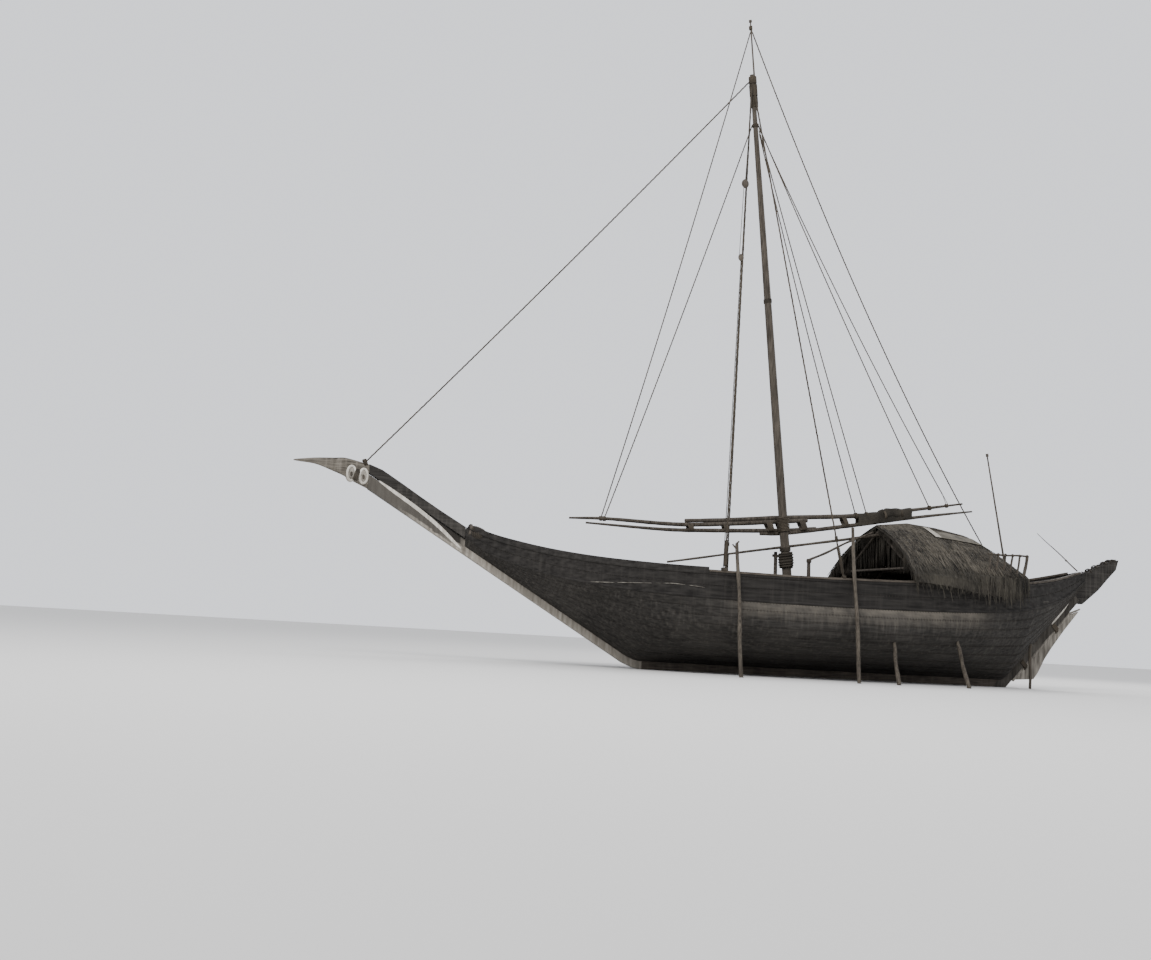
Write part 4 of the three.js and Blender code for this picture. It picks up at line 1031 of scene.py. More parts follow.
def make_gable_fringe():
    """Leaves hanging loose from the front edge of the roof."""
    for label, side in SIDES.items():
        chance = random.Random(71 + side)
        shape = Shape()
        for _ in range(GABLE_LEAVES):
            v = chance.uniform(0.03, 1.0)
            root = roof_point(chance.uniform(0.0, 0.06), v, side, chance.uniform(-60, -20))
            length = chance.uniform(0.1, 0.38) * (1.2 if v > 0.6 else 1)
            drift = Vector((chance.uniform(-0.05, 0.05), chance.uniform(-0.1, 0.1), -1)).normalized()
            tip = root + drift * length
            across = Vector((0.15 * chance.uniform(-1, 1), 1, 0)).normalized()
            blade(shape, root, tip, across, chance.uniform(0.02, 0.04), FORWARD)
        shape.piece(f"gable_fringe_{label}", "dark_mat", slot="palm_thatch", smooth=False)


def make_gable_shade_fronds():
    """Long dark fronds that close the upper part of the front gable; their near-black tone is painted shade
    for the shadowed inside of the house.
    """
    chance = random.Random(77)
    shape = Shape()
    across = Vector((0.2, 1, 0)).normalized()
    for _ in range(GABLE_FRONDS):
        v = chance.uniform(0.02, 0.7)
        root = roof_point(0.16, v, chance.choice((-1, 1)), -110)
        root.x += chance.uniform(-0.03, 0.05)
        length = min(chance.uniform(0.3, 1.15), root.z - FROND_FLOOR)
        way = Vector((chance.uniform(-0.02, 0.06), chance.uniform(-0.05, 0.05), -1)).normalized()
        tip = root + way * max(length, 0.15)
        blade(shape, root, tip, across, chance.uniform(0.03, 0.06), FORWARD)
    shape.piece("gable_shade_fronds", "dark_mat", slot="palm_thatch", smooth=False)


# Loose mats on the port slope: name, finish, u from and to, v from and to, proud
ROOF_MATS = [
    ("stern_ridge_mat", "grey_mat", 1.6, 3.8, 0.16, 0.33, 24),
    ("white_mat", "limewashed_mat", 1.38, 1.58, 0.09, 0.33, 34),
]
ROOF_MAT_THICK = 7
ROOF_MAT_ROWS = 24
ROOF_MAT_COLUMNS = 16


def make_roof_mats():
    for name, finish, u0, u1, v0, v1, proud in ROOF_MATS:
        outside, inside = [], []
        for r, u in enumerate(evenly(u0, u1, ROOF_MAT_ROWS)):
            row = []
            for c, v in enumerate(evenly(v0, v1, ROOF_MAT_COLUMNS)):
                row.append((v, proud + 6 * math.sin(3.1 * r) * math.sin(1.7 * c)))
            outside.append([roof_point(u, v, -1, high) for v, high in row])
            inside.append([roof_point(u, v, -1, high - ROOF_MAT_THICK) for v, high in row])
        shape = Shape()
        shape.panel(outside, inside)
        mat = shape.piece(name, finish, slot="woven_mat")


# Spars in millimetres: x, z, radius. They hang at SPAR_SIDE on the starboard side of the mast
SPAR_SIDE = 222
YARD_FORE_POLE = [
    (-4785, 3870, 26),
    (-3805, 3925, 44),
    (-1725, 3930, 56),
    (-305, 4050, 60),
    (1300, 4235, 62),
    (2100, 4330, 60),
]
YARD_AFT_POLE = [
    (-1500, 4050, 50),
    (-305, 4160, 58),
    (1300, 4345, 64),
    (3785, 4600, 62),
    (5500, 4905, 48),
    (7005, 5190, 26),
]
BOOM_FORE_POLE = [
    (-4305, 3780, 26),
    (-2195, 3765, 46),
    (-1315, 3800, 54),
    (1345, 3990, 60),
    (2400, 4120, 56),
]
BOOM_AFT_POLE = [(700, 3850, 44), (1345, 3905, 52), (3175, 4235, 58), (5500, 4680, 46), (7315, 4990, 24)]
# Lashings of the spars: x, length
SPAR_LASHINGS = [(-1355, 150), (-330, 130), (945, 170), (1945, 170), (3250, 120)]
ALONG_SPARS = (1, 0, 0.12)
PARREL_ALONG = 3545


def spar_at(rows, x):
    return smooth_row(rows, min(max(x, rows[0][0]), rows[-1][0]))[0]


def on_spar(rows, x):
    return mm(x, SPAR_SIDE, spar_at(rows, x))


def make_spar(name, poles, node, seed):
    chance = random.Random(seed)
    shape = Shape()
    for rows, aside in poles:
        phase = chance.uniform(0, 6)
        points, radii = [], []
        for x in stations(rows, 40):
            z, radius = smooth_row(rows, x)
            sway = 10 * math.sin(x / 900 + phase)
            points.append(mm(x, SPAR_SIDE + aside + sway, z))
            radii.append(radius * MM * (1 + 0.05 * math.sin(x / 170 + phase) * math.sin(x / 61)))
        shape.tube(points, radii, 14)
    shape.piece(name, "spar_timber", body="yard", replaces=[node])


def make_spars():
    make_spar("yard_poles", [(YARD_FORE_POLE, -20), (YARD_AFT_POLE, 20)], "yard", 5)
    make_spar("boom_poles", [(BOOM_FORE_POLE, 15), (BOOM_AFT_POLE, -15)], "boom", 6)
    shape = Shape()
    for x, length in SPAR_LASHINGS:
        low = spar_at(BOOM_FORE_POLE, x) if x < 2000 else spar_at(BOOM_AFT_POLE, x)
        high = spar_at(YARD_AFT_POLE, x) if x > 0 else spar_at(YARD_FORE_POLE, x)
        halves = ((high - low) / 2 + 75, 92)
        shape.lash(mm(x, SPAR_SIDE, (low + high) / 2), ALONG_SPARS, halves, 0.012, 9, length * MM, 6, 18)
    shape.piece("spar_lashings", "coir_rope", body="yard")


def make_parrel():
    """Turns of rope that hold the spars to the mast."""
    shape = Shape()
    shape.coil(on_mast(PARREL_ALONG), MAST_AXIS, 0.155, 0.019, 10, 0.4, 8, 24)
    shape.lash(mm(1325, SPAR_SIDE - 3, 4130), ALONG_SPARS, (258, 86), 0.016, 8, 0.22, 7)
    shape.piece("mast_parrel", "coir_rope", body="yard", replaces=["parrel"])


# Rolled mats over the after part of the yard: x, low, high, half width
MAT_BUNDLE = [
    (4200, 4470, 4765, 90),
    (4450, 4505, 4860, 115),
    (4750, 4560, 4905, 130),
    (5050, 4610, 4908, 112),
    (5300, 4655, 4935, 85),
]
BUNDLE_TIES = (4480, 5010)
TIE_PINCH = 0.88


def bundle_ring(x, share):
    """A lumpy section of the rolled mats, smaller at the ends and pinched at the ties."""
    low, high, half = smooth_row(MAT_BUNDLE, x)
    end = min(1, 0.35 + 1.6 * math.sin(math.pi * share))
    ring = []
    for angle in around(28):
        lump = 1 - 0.1 * abs(math.sin(2.5 * angle + 0.6)) - 0.05 * math.sin(x / 60 + 3 * angle)
        if min(abs(x - tie) for tie in BUNDLE_TIES) < 35:
            lump *= TIE_PINCH
        y = SPAR_SIDE + half * end * lump * math.cos(angle)
        z = (low + high) / 2 + (high - low) / 2 * end * lump * math.sin(angle)
        ring.append(mm(x, y, z))
    return ring


def make_mat_bundle():
    shape = Shape()
    shape.loft([bundle_ring(x, i / 44) for i, x in enumerate(stations(MAT_BUNDLE, 44))])
    shape.piece("rolled_mats", "dark_mat", body="yard", replaces=["mat_bundle"], slot="woven_mat")
    make_hung_mat()
    ties = Shape()
    for x in BUNDLE_TIES:
        low, high, half = smooth_row(MAT_BUNDLE, x)
        halves = ((high - low) / 2 * 0.92, half * 0.92)
        ties.lash(mm(x, SPAR_SIDE, (low + high) / 2), (1, 0, 0.15), halves, 0.011, 4, 0.06)
    ties.piece("mat_ties", "coir_rope", body="yard")


# The mat thrown over the yard: x at its two edges, thickness, points along and over it
HUNG_MAT_X = (3650, 5330)
HUNG_MAT_THICK = 6
HUNG_MAT_ROWS = 44
HUNG_MAT_FOLD = 12


def hung_mat_rows(x):
    """The mat's outside and inside at x, from its port edge over the yard to starboard."""
    top = spar_at(YARD_AFT_POLE, x) + 70 + 8 * math.sin(x / 90)
    bottom = spar_at(BOOM_AFT_POLE, x) - 30 + 22 * math.sin(x / 130) + 10 * math.sin(x / 31)
    out_row, in_row = [], []
    for c in range(HUNG_MAT_FOLD + 1):
        t = 2 * c / HUNG_MAT_FOLD - 1
        hang = abs(t) ** 1.6
        flare = 88 + 16 * abs(t) + 5 * math.sin(x / 70 + 2 * t)
        y = flare * math.copysign(min(1, 2.1 * abs(t)) ** 0.7, t) if t else 0
        z = top + (bottom - top) * hang
        thin = HUNG_MAT_THICK / max(abs(y), HUNG_MAT_THICK)
        out_row.append(mm(x, SPAR_SIDE + y, z))
        in_row.append(mm(x, SPAR_SIDE + y * (1 - thin), z - HUNG_MAT_THICK * (1 - hang)))
    return out_row, in_row


def make_hung_mat():
    """A mat thrown over the yard that hangs down on both sides of the boom."""
    outside, inside = zip(*[hung_mat_rows(x) for x in evenly(*HUNG_MAT_X, HUNG_MAT_ROWS)])
    shape = Shape()
    shape.panel(outside, inside)
    mat = shape.piece("hung_mat", "dark_mat", body="yard", slot="woven_mat")


# Stays: name, foot x, side, radius
STAYS = [
    ("shroud_port_fore", -1360, -1, 24),
    ("shroud_port_aft", 1870, -1, 24),
    ("shroud_starboard_fore", 730, 1, 24),
    ("shroud_starboard_aft", 2680, 1, 24),
    ("backstay", 8970, 1, 20),
]
TACKLE_X = STAYS[0][1]
FORESTAY_FOOT = (-10300, 0, 4815)
# Places along the mast, in millimetres
STAY_TOP = 16190
LIFT_TOP = 14835
POLE_TOP = 17700
# The pole stands abaft the masthead and to starboard: the two radii, and the share each way
POLE_REACH = 58 + 30
POLE_AFT = 0.934
POLE_ASIDE = 0.358
# Half sizes of the turns round the rail
RAIL_TURNS = (44, 74)
# Distance between points along a stay, in metres
STAY_STEP = 0.045


def pole_head():
    """The backstay's place on the pole that is lashed to the masthead."""
    return on_mast(POLE_TOP, -POLE_AFT * POLE_REACH, POLE_ASIDE * POLE_REACH)


def make_stays():
    top = on_mast(STAY_TOP)
    for name, x, side, radius in STAYS:
        foot = on_rail(x, side)
        shape = Shape()
        if name == "backstay":
            shape.rope(pole_head(), foot, 0.02, sag=0.85, step=STAY_STEP)
            shape.coil(pole_head(), MAST_AXIS, 0.042, 0.011, 6, 0.1, 6, 14)
        else:
            shape.rope(top, foot, radius * MM, sag=0.05, step=STAY_STEP)
        add_stay_end(shape, foot, top, radius * MM)
        shape.piece(f"{name}_rope", "coir_rope", replaces=[name])
    shape = Shape()
    foot = mm(*FORESTAY_FOOT)
    shape.rope(top, foot, 0.022, sag=0.08, step=STAY_STEP)
    shape.lash(foot + Vector((0.03, 0, 0)), (1, 0, 0.35), (88, 118), 0.014, 5, 0.09)
    shape.piece("forestay_rope", "coir_rope", replaces=["forestay"])


def add_stay_end(shape, foot, top, radius):
    """The seized end of a shroud: turns round its own part and round the rail."""
    way = (top - foot).normalized()
    shape.coil(foot + way * 0.45, way, radius * 1.35, 0.014, 22, 0.66, 6, 12)
    shape.coil(foot + way * 1.05, way, radius * 1.4, 0.01, 5, 0.1, 6, 12)
    shape.lash(foot + Vector((0, 0, -0.01)), FORE_AND_AFT, RAIL_TURNS, 0.013, 4, 0.09, 6, 16)


# Lifts: solid, foot x, spar, and the side of the mast that it leaves
LIFTS = [
    ("yard_lift_fore", -3805, YARD_FORE_POLE, 1),
    ("yard_lift_aft", 5935, YARD_AFT_POLE, -1),
]
MAST_BACK = -105
BLOCK_FALL_X = 6485
FORE_FALL_X = -3900
# Falls down to the yard from abaft the masthead: foot x, length along the mast, sag in metres
FALLS = [(3610, 14600, 0.22), (3950, 14700, 0.1)]
FALL_RADIUS = 0.018
WHIP_RADIUS = 0.009


def add_fall(shape, top, foot, sag, turns_radius, slant, rope_radius=0.01, length=0.07, step=0.05):
    """A rope down to a spar, with the turns that hold it there."""
    shape.rope(top, foot, FALL_RADIUS, sag=sag, step=step)
    shape.coil(foot, (1, 0, slant), turns_radius, rope_radius, 4, length, 6, 14)


def make_lifts():
    """Lifts from the masthead to the two ends of the yard, which swing with it."""
    for node, x, rows, out in LIFTS:
        shape = Shape()
        top = on_mast(LIFT_TOP, out * 100)
        add_fall(shape, top, on_spar(rows, x), 0.12, 0.06, 0.1, 0.011, 0.08, 0.04)
        if out == 1:
            shape.coil(on_mast(LIFT_TOP), MAST_AXIS, 0.085, 0.016, 3, 0.07, 6, 20)
        shape.piece(f"{node}_rope", "coir_rope", body="yard", replaces=[node])


def make_falls():
    """Four more falls: one that ends in a whip to the yard's after end, one from the head of
    the pole to its fore end, and two to its after half."""
    shape = Shape()
    aft = on_spar(YARD_AFT_POLE, BLOCK_FALL_X)
    block = aft + Vector((-0.14, 0, 0.32))
    shape.rope(on_mast(LIFT_TOP - 60, MAST_BACK), block, 0.017, sag=0.25)
    shape.rope(block, aft, WHIP_RADIUS)
    shape.rope(block + Vector((0.02, 0.02, 0)), aft + Vector((0.09, 0.02, 0)), WHIP_RADIUS)
    shape.coil(aft, (1, 0, 0.2), 0.052, 0.009, 4, 0.07, 6, 12)
    fore = on_spar(YARD_FORE_POLE, FORE_FALL_X)
    shape.rope(pole_head() - Vector((0, 0, 0.12)), fore, FALL_RADIUS, sag=0.2)
    shape.coil(fore, (1, 0, 0.1), 0.06, 0.01, 4, 0.07, 6, 12)
    for x, along, sag in FALLS:
        add_fall(shape, on_mast(along, MAST_BACK), on_spar(YARD_AFT_POLE, x), sag, 0.084, 0.2)
    shape.piece("halyard_falls", "coir_rope", body="yard")


def add_block(shape, place, axis, length):
    """A wooden pulley block: a flat egg-shaped cheek pair."""
    axis = Vector(axis).normalized()
    side = Vector((0, 1, 0))
    other = axis.cross(side).normalized()
    rings = []
    for t in evenly(0, 1, 8):
        swell = math.sin(math.pi * (0.06 + 0.88 * t)) ** 0.6
        ring = []
        for angle in around(12):
            offset = side * math.cos(angle) * 0.26 + other * math.sin(angle) * 0.42
            ring.append(place + axis * length * (t - 0.5) + offset * length * swell)
        rings.append(ring)
    shape.loft(rings)


# The tackle's two blocks, as shares of the way down the shroud
UPPER_BLOCK = 0.22
LOWER_BLOCK = 0.38


def make_running_gear():
    """The tackle that sets up the fore shroud on the port side."""
    top = on_mast(STAY_TOP - 250, 40, -80)
    foot = on_rail(TACKLE_X, -1)
    beside = Vector((-0.05, 0, 0))
    block = top.lerp(foot, UPPER_BLOCK) + beside
    low = top.lerp(foot, LOWER_BLOCK) + beside
    shape = Shape()
    shape.rope(top, block, 0.015)
    for shift in (-0.035, 0.035):
        shape.rope(block + Vector((shift, 0, 0)), low + Vector((shift * 1.5, 0, 0)), 0.0095, sag=0.01)
    shape.rope(low, foot + beside, 0.012)
    shape.lash(foot + beside, FORE_AND_AFT, RAIL_TURNS, 0.011, 5, 0.09, 6, 16)
    shape.piece("port_tackle_ropes", "dark_rope", slot="coir_rope")
    blocks = Shape()
    add_block(blocks, block, top - foot, 0.26)
    add_block(blocks, low, top - foot, 0.2)
    blocks.piece("tackle_blocks", "spar_timber")


# Turns round the masthead and the pole: place along the mast, length, turns, radius
MASTHEAD_TURNS = [
    (15560, 0.2, 7, 0.088),
    (15850, 0.34, 12, 0.092),
    (16150, 0.2, 7, 0.09),
    (15420, 0.1, 4, 0.085),
]
# Collars of rope on the mast: place along it, and the coil's sizes from its radius on
MAST_COLLARS = [
    (2560, (0.168, 0.034, 7, 0.4, 8, 24)),
    (2560, (0.2, 0.02, 4, 0.3, 8, 24)),
    (2860, (0.142, 0.014, 4, 0.11, 7, 24)),
    (9800, (0.108, 0.011, 5, 0.11, 7, 20)),
]


def make_masthead():
    shape = Shape()
    for along, length, turns, radius in MASTHEAD_TURNS:
        shape.coil(on_mast(along, -18, 7), MAST_AXIS, radius, 0.016, turns, length, 7, 22, (1.12, 1))
    shape.piece("masthead_turns", "coir_rope", replaces=["masthead_serving"])
    collar = Shape()
    for along, sizes in MAST_COLLARS:
        collar.coil(on_mast(along), MAST_AXIS, *sizes)
    collar.piece("mast_collars", "dark_rope", slot="coir_rope")


def make_natural_poles():
    """Mangrove poles in place of the straight ones, between the same ends."""
    for name, solid in nodes.items():
        shore = name.startswith("shore_")
        if not shore and name != "spare_pole":
            continue
        chance = random.Random(name)
        start, end, r0, r1 = pole_ends(solid)
        shape = Shape()
        shape.pole(start, end, r0, r1, chance, bend=0.018 if shore else 0.012, steps=26, knots=0.12)
        if name == "shore_1_port":
            fork = start.lerp(end, 0.955)
            shape.pole(fork, fork + Vector((-0.13, 0, 0.12)), 0.03, 0.018, chance, sides=8, steps=6)
            shape.pole(end, end + Vector((0.06, 0, 0.06)), 0.03, 0.02, chance, sides=8, steps=4)
        shape.piece(f"{name}_trunk", "mangrove_pole", replaces=[name])


# The end of a straight pole takes in the points this near its tip, in metres, and the natural
# pole is no thicker than these radii
TIP_REACH = 0.16
THICKEST_FOOT = 0.055
THICKEST_HEAD = 0.045


def pole_ends(solid):
    """The two ends of a straight pole and its radii, from the solid in the frame."""
    points = [Vector(v.co) for v in solid.data.vertices]
    middle = sum(points, Vector()) / len(points)
    far = max(points, key=lambda p: (p - middle).length)
    other = max(points, key=lambda p: (p - far).length)
    low, high = sorted((far, other), key=lambda p: p.z)
    ends = []
    for tip in (low, high):
        near = [p for p in points if (p - tip).length < TIP_REACH]
        centre = sum(near, Vector()) / len(near)
        ends.append((centre, max((p - centre).length for p in near)))
    (start, r0), (end, r1) = ends
    return start, end, min(r0, THICKEST_FOOT), min(r1, THICKEST_HEAD)


# Beak of the prow: x, top, bottom, half width
BEAK = [
    (-12060, 4765, 4740, 18),
    (-11950, 4790, 4728, 34),
    (-11500, 4858, 4690, 62),
    (-11045, 4895, 4545, 80),
    (-10815, 4916, 4462, 88),
    (-10600, 4886, 4352, 92),
    (-10170.3, 4797, 4172, 93),
]
PROW_LASHING_X = -10460
# Eyes: x, z, half length, half height
EYES = [(-10614, 4528, 125, 205), (-10305, 4480, 122, 205)]
EYE_FACE = 97
EYE_RIM = 22
EYE_HEART_SIZE = 0.9
# An eye's swelling middle and its pupil: share of the size, and how far it stands out
EYE_HEART = [(1.0, 0), (0.86, 8), (0.5, 16), (0.08, 18)]
PUPIL = [(1.0, 100), (1.0, 112), (0.5, 116), (0.1, 117)]
PUPIL_LENGTH = 34
PUPIL_HEIGHT = 62


def oval(x, y, z, length, height, count):
    """A ring upright along the boat, from its middle and half sizes in millimetres."""
    return [mm(x + length * math.cos(angle), y, z + height * math.sin(angle)) for angle in around(count)]


def beak_ring(x):
    top, bottom, half = smooth_row(BEAK, x)
    ring = []
    for angle in around(20):
        cos, sin = math.cos(angle), math.sin(angle)
        y = half * math.copysign(abs(cos) ** 0.55, cos)
        z = (top + bottom) / 2 + (top - bottom) / 2 * math.copysign(abs(sin) ** 0.7, sin)
        ring.append(mm(x, y, z))
    return ring


def make_prow():
    shape = Shape()
    shape.loft([beak_ring(x) for x in stations(BEAK, 36)])
    shape.piece("prow_beak", "beak_timber", replaces=["prow_head"], slot="limewashed_timber")
    rims, hearts, pupils = Shape(), Shape(), Shape()
    for side in SIDES.values():
        for x, z, length, height in EYES:
            add_eye(rims, hearts, x, z, length, height, side)
            ring_sizes = [(PUPIL_LENGTH * share, PUPIL_HEIGHT * share, proud) for share, proud in PUPIL]
            pupils.loft([oval(x, side * proud, z - 20, wide, tall, 20) for wide, tall, proud in ring_sizes])
    rims.piece("prow_eye_rims", "whitewash", slot="limewashed_timber")
    hearts.piece("prow_eye_hearts", "eye_white", slot="limewashed_timber")
    pupils.piece("prow_eye_pupils", "grey_timber", slot="limewashed_timber")
    wraps = Shape()
    top, bottom, half = smooth_row(BEAK, PROW_LASHING_X)
    middle = mm(PROW_LASHING_X, 0, (top + bottom) / 2)
    halves = ((top - bottom) / 2 + 14, half + 12)
    wraps.lash(middle, (1, 0, -0.32), halves, 0.015, 5, 0.12, 7, 28)
    wraps.piece("prow_lashing", "dark_rope", slot="coir_rope")


def add_eye(rims, hearts, x, z, length, height, side):
    """An oval boss with a raised white rim on one side of the prow head."""
    rim = oval(x, side * EYE_FACE, z, length - EYE_RIM, height - EYE_RIM, 40)
    rims.tube(rim + rim[:1], 0.03, 8)
    rings = []
    for share, proud in EYE_HEART:
        reach = EYE_HEART_SIZE * share
        rings.append(oval(x, side * (EYE_FACE - 6 + proud), z, length * reach, height * reach, 32))
    rings.insert(0, [p + Vector((0, -side * 0.02, 0)) for p in rings[0]])
    hearts.loft(rings)


# Whitewashed stripe on the stem: x, middle above the stem's lower edge, half height
STRIPE = [
    (-9900, 366, 20),
    (-9600, 356, 44),
    (-9000, 340, 56),
    (-8500, 290, 58),
    (-8150, 215, 58),
    (-7900, 140, 48),
    (-7700, 85, 24),
]
# The collar of rope where the neck joins the hull
COLLAR_TURNS = 9
COLLAR_POINTS = 36


def stripe_ring(x, z, reach, side):
    """A ring round a low painted stripe on the side of the stem or sternpost."""
    section = [(-6, -reach), (5, -reach), (8, 0), (5, reach), (-6, reach)]
    return [mm(x, side * (TIMBER_HALF + proud), z + rise) for proud, rise in section]


def make_stripe(name, rows):
    """A stripe on both sides, from a table of x, middle height and half height."""
    shape = Shape()
    for side in SIDES.values():
        shape.loft([stripe_ring(x, z, reach, side) for x, z, reach in rows])
    shape.piece(name, "whitewash", slot="limewashed_timber")


def make_neck_trim():
    """The whitewashed stripe and the thick lashing where the neck joins the hull."""
    rows = []
    for x in stations(STRIPE, 40):
        middle, reach = smooth_row(STRIPE, x)
        rows.append((x, stem_edge(x) + middle, reach))
    make_stripe("neck_stripe", rows)
    path = []
    for i in range(COLLAR_TURNS * COLLAR_POINTS + 1):
        t = i / (COLLAR_TURNS * COLLAR_POINTS)
        angle = 2 * math.pi * i / COLLAR_POINTS
        swell = 0.82 + 0.18 * math.sin(math.pi * t)
        y = (0.245 + 0.1 * t) * swell * math.cos(angle)
        z = 3.24 - 0.08 * t + 0.215 * swell * math.sin(angle)
        path.append(Vector((-7.5 + 0.4 * t, y, z)))
    collar = Shape()
    collar.tube(path, 0.028, 8)
    collar.piece("neck_collar", "dark_rope", slot="coir_rope")
    rim = Shape()
    rim.lash(Vector((-7.5, 0, 3.25)), (1, 0, -0.25), (205, 238), 0.022, 2, 0.05, 8, 36)
    rim.piece("neck_collar_rim", "grey_timber")


# Whitewashed stripe up the sternpost: x, z at its middle
POST_STRIPE = [(9830, 1880), (10060, 2150), (10300, 2440), (10560, 2830)]
# Top of the stern's crest, and the lashings on it: x, half height
CREST = [(10900, 3455), (11070, 3490), (11267, 3612), (11556, 3742), (11850, 3852), (12040, 3880)]
CREST_LASHINGS = [(11120, 75), (11330, 60), (11640, 55), (11800, 62), (11930, 45)]
CREST_FIBRES = 46
CREST_END = 12.06
CREST_TOP = 3.93
# Light pole lying over the stern
BOATHOOK = [(10700, -60, 3480), (9390, 40, 4500)]


def crest_top(x):
    return smooth_row(CREST, x)[0]


def make_stern_trim():
    rows = []
    for i, x in enumerate(stations(POST_STRIPE, 24)):
        reach = 62 * math.sin(math.pi * (0.12 + 0.8 * i / 24))
        rows.append((x, smooth_row(POST_STRIPE, x)[0], reach))
    make_stripe("sternpost_stripe", rows)
    chance = random.Random(91)
    make_crest(chance)
    pole = Shape()
    low, high = (mm(*p) for p in BOATHOOK)
    pole.pole(low, high, 0.02, 0.008, chance, bend=0.008, steps=16)
    pole.coil(low.lerp(high, 0.28), high - low, 0.022, 0.006, 5, 0.05, 6, 12)
    pole.piece("stern_boathook", "mangrove_pole")


def make_crest(chance):
    """The rope along the stern's crest, its lashings and the fibres that stand out of it."""
    ropes = Shape()
    path = []
    for i, x in enumerate(stations(CREST, 48)):
        path.append(mm(x, 40 * math.sin(i * 0.9), crest_top(x) + 8 + 10 * math.sin(i * 1.7)))
    ropes.tube(path, 0.017, 8)
    for x, height in CREST_LASHINGS:
        ropes.lash(mm(x, 0, crest_top(x) - 15), (0.85, 0, 0.45), (height, 122), 0.014, 3, 0.05, 7, 24)
    ropes.piece("stern_crest_rope", "tarred_rope", slot="coir_rope")
    tuft = Shape()
    for _ in range(CREST_FIBRES):
        x = chance.uniform(11500, 12030)
        root = mm(x, chance.uniform(-60, 60), crest_top(x))
        way = Vector((chance.uniform(-0.4, 0.3), chance.uniform(-0.6, 0.6), chance.uniform(-0.2, 0.4)))
        tip = root + way.normalized() * chance.uniform(0.04, 0.1)
        tip.x = min(tip.x, CREST_END)
        tip.z = min(tip.z, CREST_TOP)
        blade(tuft, root, tip, Vector((0, 1, 0)), 0.018, Vector((-0.3, 0, 1)))
    tuft.piece("stern_crest_fibres", "palm_thatch", smooth=False)


# Quarter rails: fore and after end as x, y, z, and the heads of their posts as x
QUARTER_RAIL = [(6500, 1960, 3620), (8060, 1490, 3672)]
QUARTER_POSTS = [6600, 6880, 7160, 7440, 7720, 8020]
POST_LEAN = 150
POST_RADII = (0.032, 0.027)
LAST_POST_RADII = (0.048, 0.042)


def on_quarter_rail(x, side, above=0):
    fore, aft = QUARTER_RAIL
    t = (x - fore[0]) / (aft[0] - fore[0])
    y = fore[1] + (aft[1] - fore[1]) * t
    z = fore[2] + (aft[2] - fore[2]) * t
    return mm(x, side * y, z + above)


def make_quarter_rails():
    for label, side in SIDES.items():
        chance = random.Random(81 + side)
        shape = Shape()
        fore, aft = [mm(x, side * y, z) for x, y, z in QUARTER_RAIL]
        shape.pole(fore, aft, 0.03, 0.026, chance, bend=0.01, steps=18, knots=0.1)
        for x in QUARTER_POSTS:
            radii = LAST_POST_RADII if x == QUARTER_POSTS[-1] else POST_RADII
            foot = on_rail(x - POST_LEAN, side)
            head = on_quarter_rail(x, side, 20)
            shape.pole(foot, head, *radii, chance, bend=0.008, steps=10, knots=0.1)
        shape.piece(f"quarter_rail_poles_{label}", "mangrove_pole", replaces=[f"quarter_rail_{label}"])
        ties = Shape()
        for x in QUARTER_POSTS:
            ties.coil(on_quarter_rail(x, side), (1, 0, 0.4), 0.04, 0.006, 4, 0.035, 6, 12)
        ties.piece(f"quarter_ties_{label}", "coir_rope")


# Timbers that show as solids, and get worn edges
WORN_TIMBERS = ["keel", "stem", "sternpost", "stern_head", "prow_neck", "gunwale_rail_port"]
WORN_TIMBERS += ["gunwale_rail_starboard", "keelson", "poop_deck", "fore_deck", "rudder"]
WORN_TIMBERS += ["mast_bitts", "house_frame", "flagstaff"]
WORN_TIMBERS += [f"frame_{k}" for k in range(1, 7)]
WORN_TIMBERS += [f"cross_beam_{k}" for k in range(1, 5)]


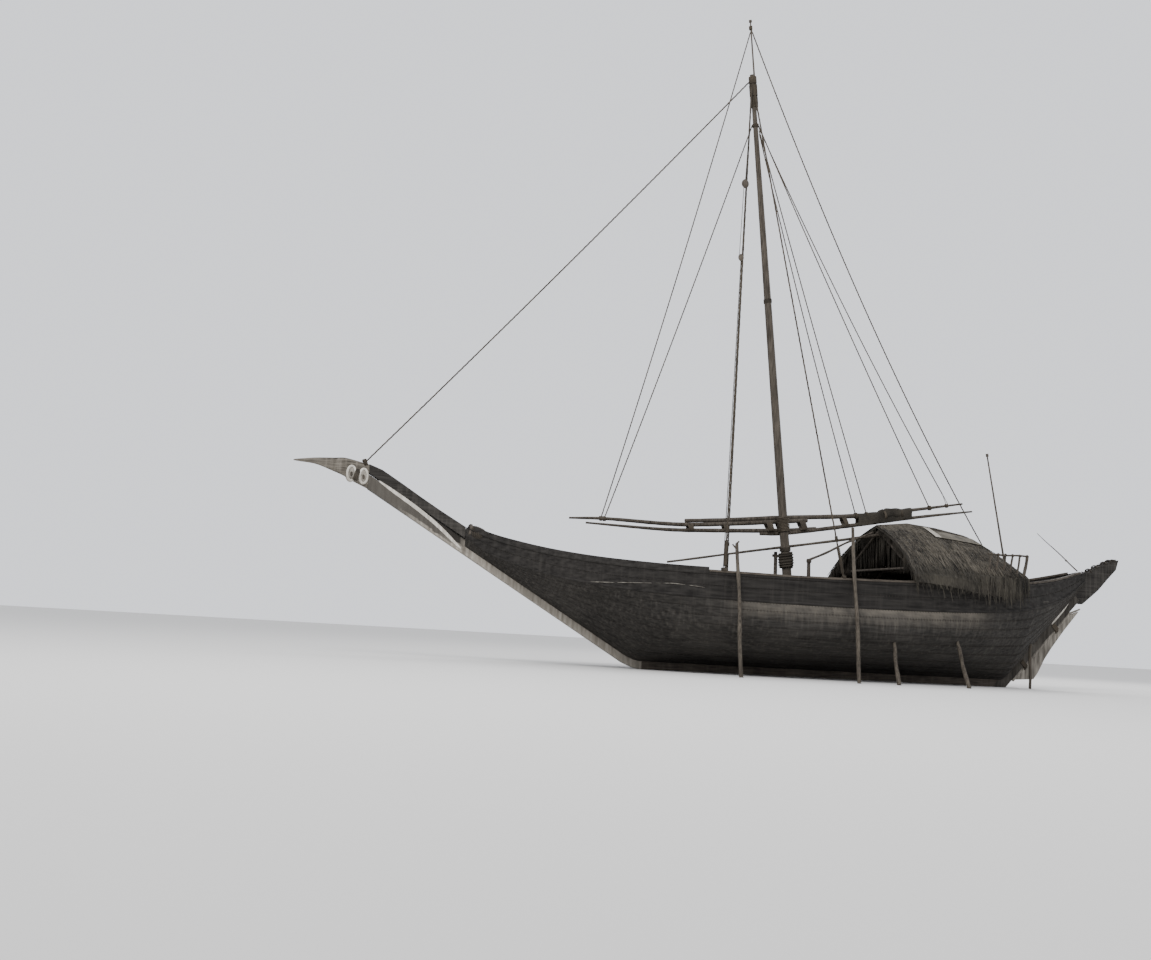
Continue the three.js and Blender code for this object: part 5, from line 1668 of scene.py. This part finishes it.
def soften_timbers():
    for name in WORN_TIMBERS:
        worn = nodes[name].modifiers.new("worn_edges", "BEVEL")
        worn.width = 0.012
        worn.segments = 2
        worn.limit_method = "ANGLE"
        worn.angle_limit = math.radians(38)


# Pale stopping in a seam of the wash strake and on the quarter, as runs of x and z
SEAM_STOPPING = [
    [(-4700, 2150), (-4340, 2160), (-4050, 2168)],
    [(-3990, 2172), (-3600, 2188), (-3180, 2204)],
    [(-3090, 2208), (-2650, 2226), (-2350, 2210)],
    [(-2270, 2206), (-2000, 2186), (-1850, 2168)],
    [(8780, 2458), (8900, 2465), (9040, 2474)],
]
STOPPING_RADIUS = 9


def make_seam_stopping():
    shape = Shape()
    for side in SIDES.values():
        for run in SEAM_STOPPING:
            start, end = run[0][0], run[-1][0]
            count = max(8, int((end - start) / 60))
            path, radii = [], []
            for i, x in enumerate(evenly(start, end, count)):
                path.append(mm(x, side * (strake_y(x)[0] + 9), smooth_row(run, x)[0]))
                taper = 0.4 if i in (0, count) else 1
                radii.append((STOPPING_RADIUS + 3 * math.sin(x / 90)) * MM * taper)
            shape.tube(path, radii, 6)
    shape.piece("seam_stopping", "sun_whitened", slot="limewashed_timber")


# The pole from the after bitt up to the front gable, in metres
PROP_FOOT = (1.95, -0.33, 3.2)
PROP_HEAD = (3.98, -0.12, 4.12)
PROP_LASHING = (1.95, -0.33, 3.17)


def make_gable_prop():
    shape = Shape()
    chance = random.Random(17)
    shape.pole(PROP_FOOT, PROP_HEAD, 0.034, 0.026, chance, bend=0.02, steps=18, knots=0.1)
    shape.coil(PROP_LASHING, (0, 0, 1), 0.06, 0.012, 5, 0.08, 6, 14)
    shape.piece("gable_prop", "mangrove_pole")


make_camera()
make_studio()
dress_solids()
soften_timbers()
make_planking()
make_strakes()
make_thatch()
make_gable_fringe()
make_gable_shade_fronds()
make_roof_mats()
make_spars()
make_parrel()
make_mat_bundle()
make_stays()
make_lifts()
make_falls()
make_running_gear()
make_masthead()
make_natural_poles()
make_prow()
make_neck_trim()
make_stern_trim()
make_seam_stopping()
make_gable_prop()
make_quarter_rails()
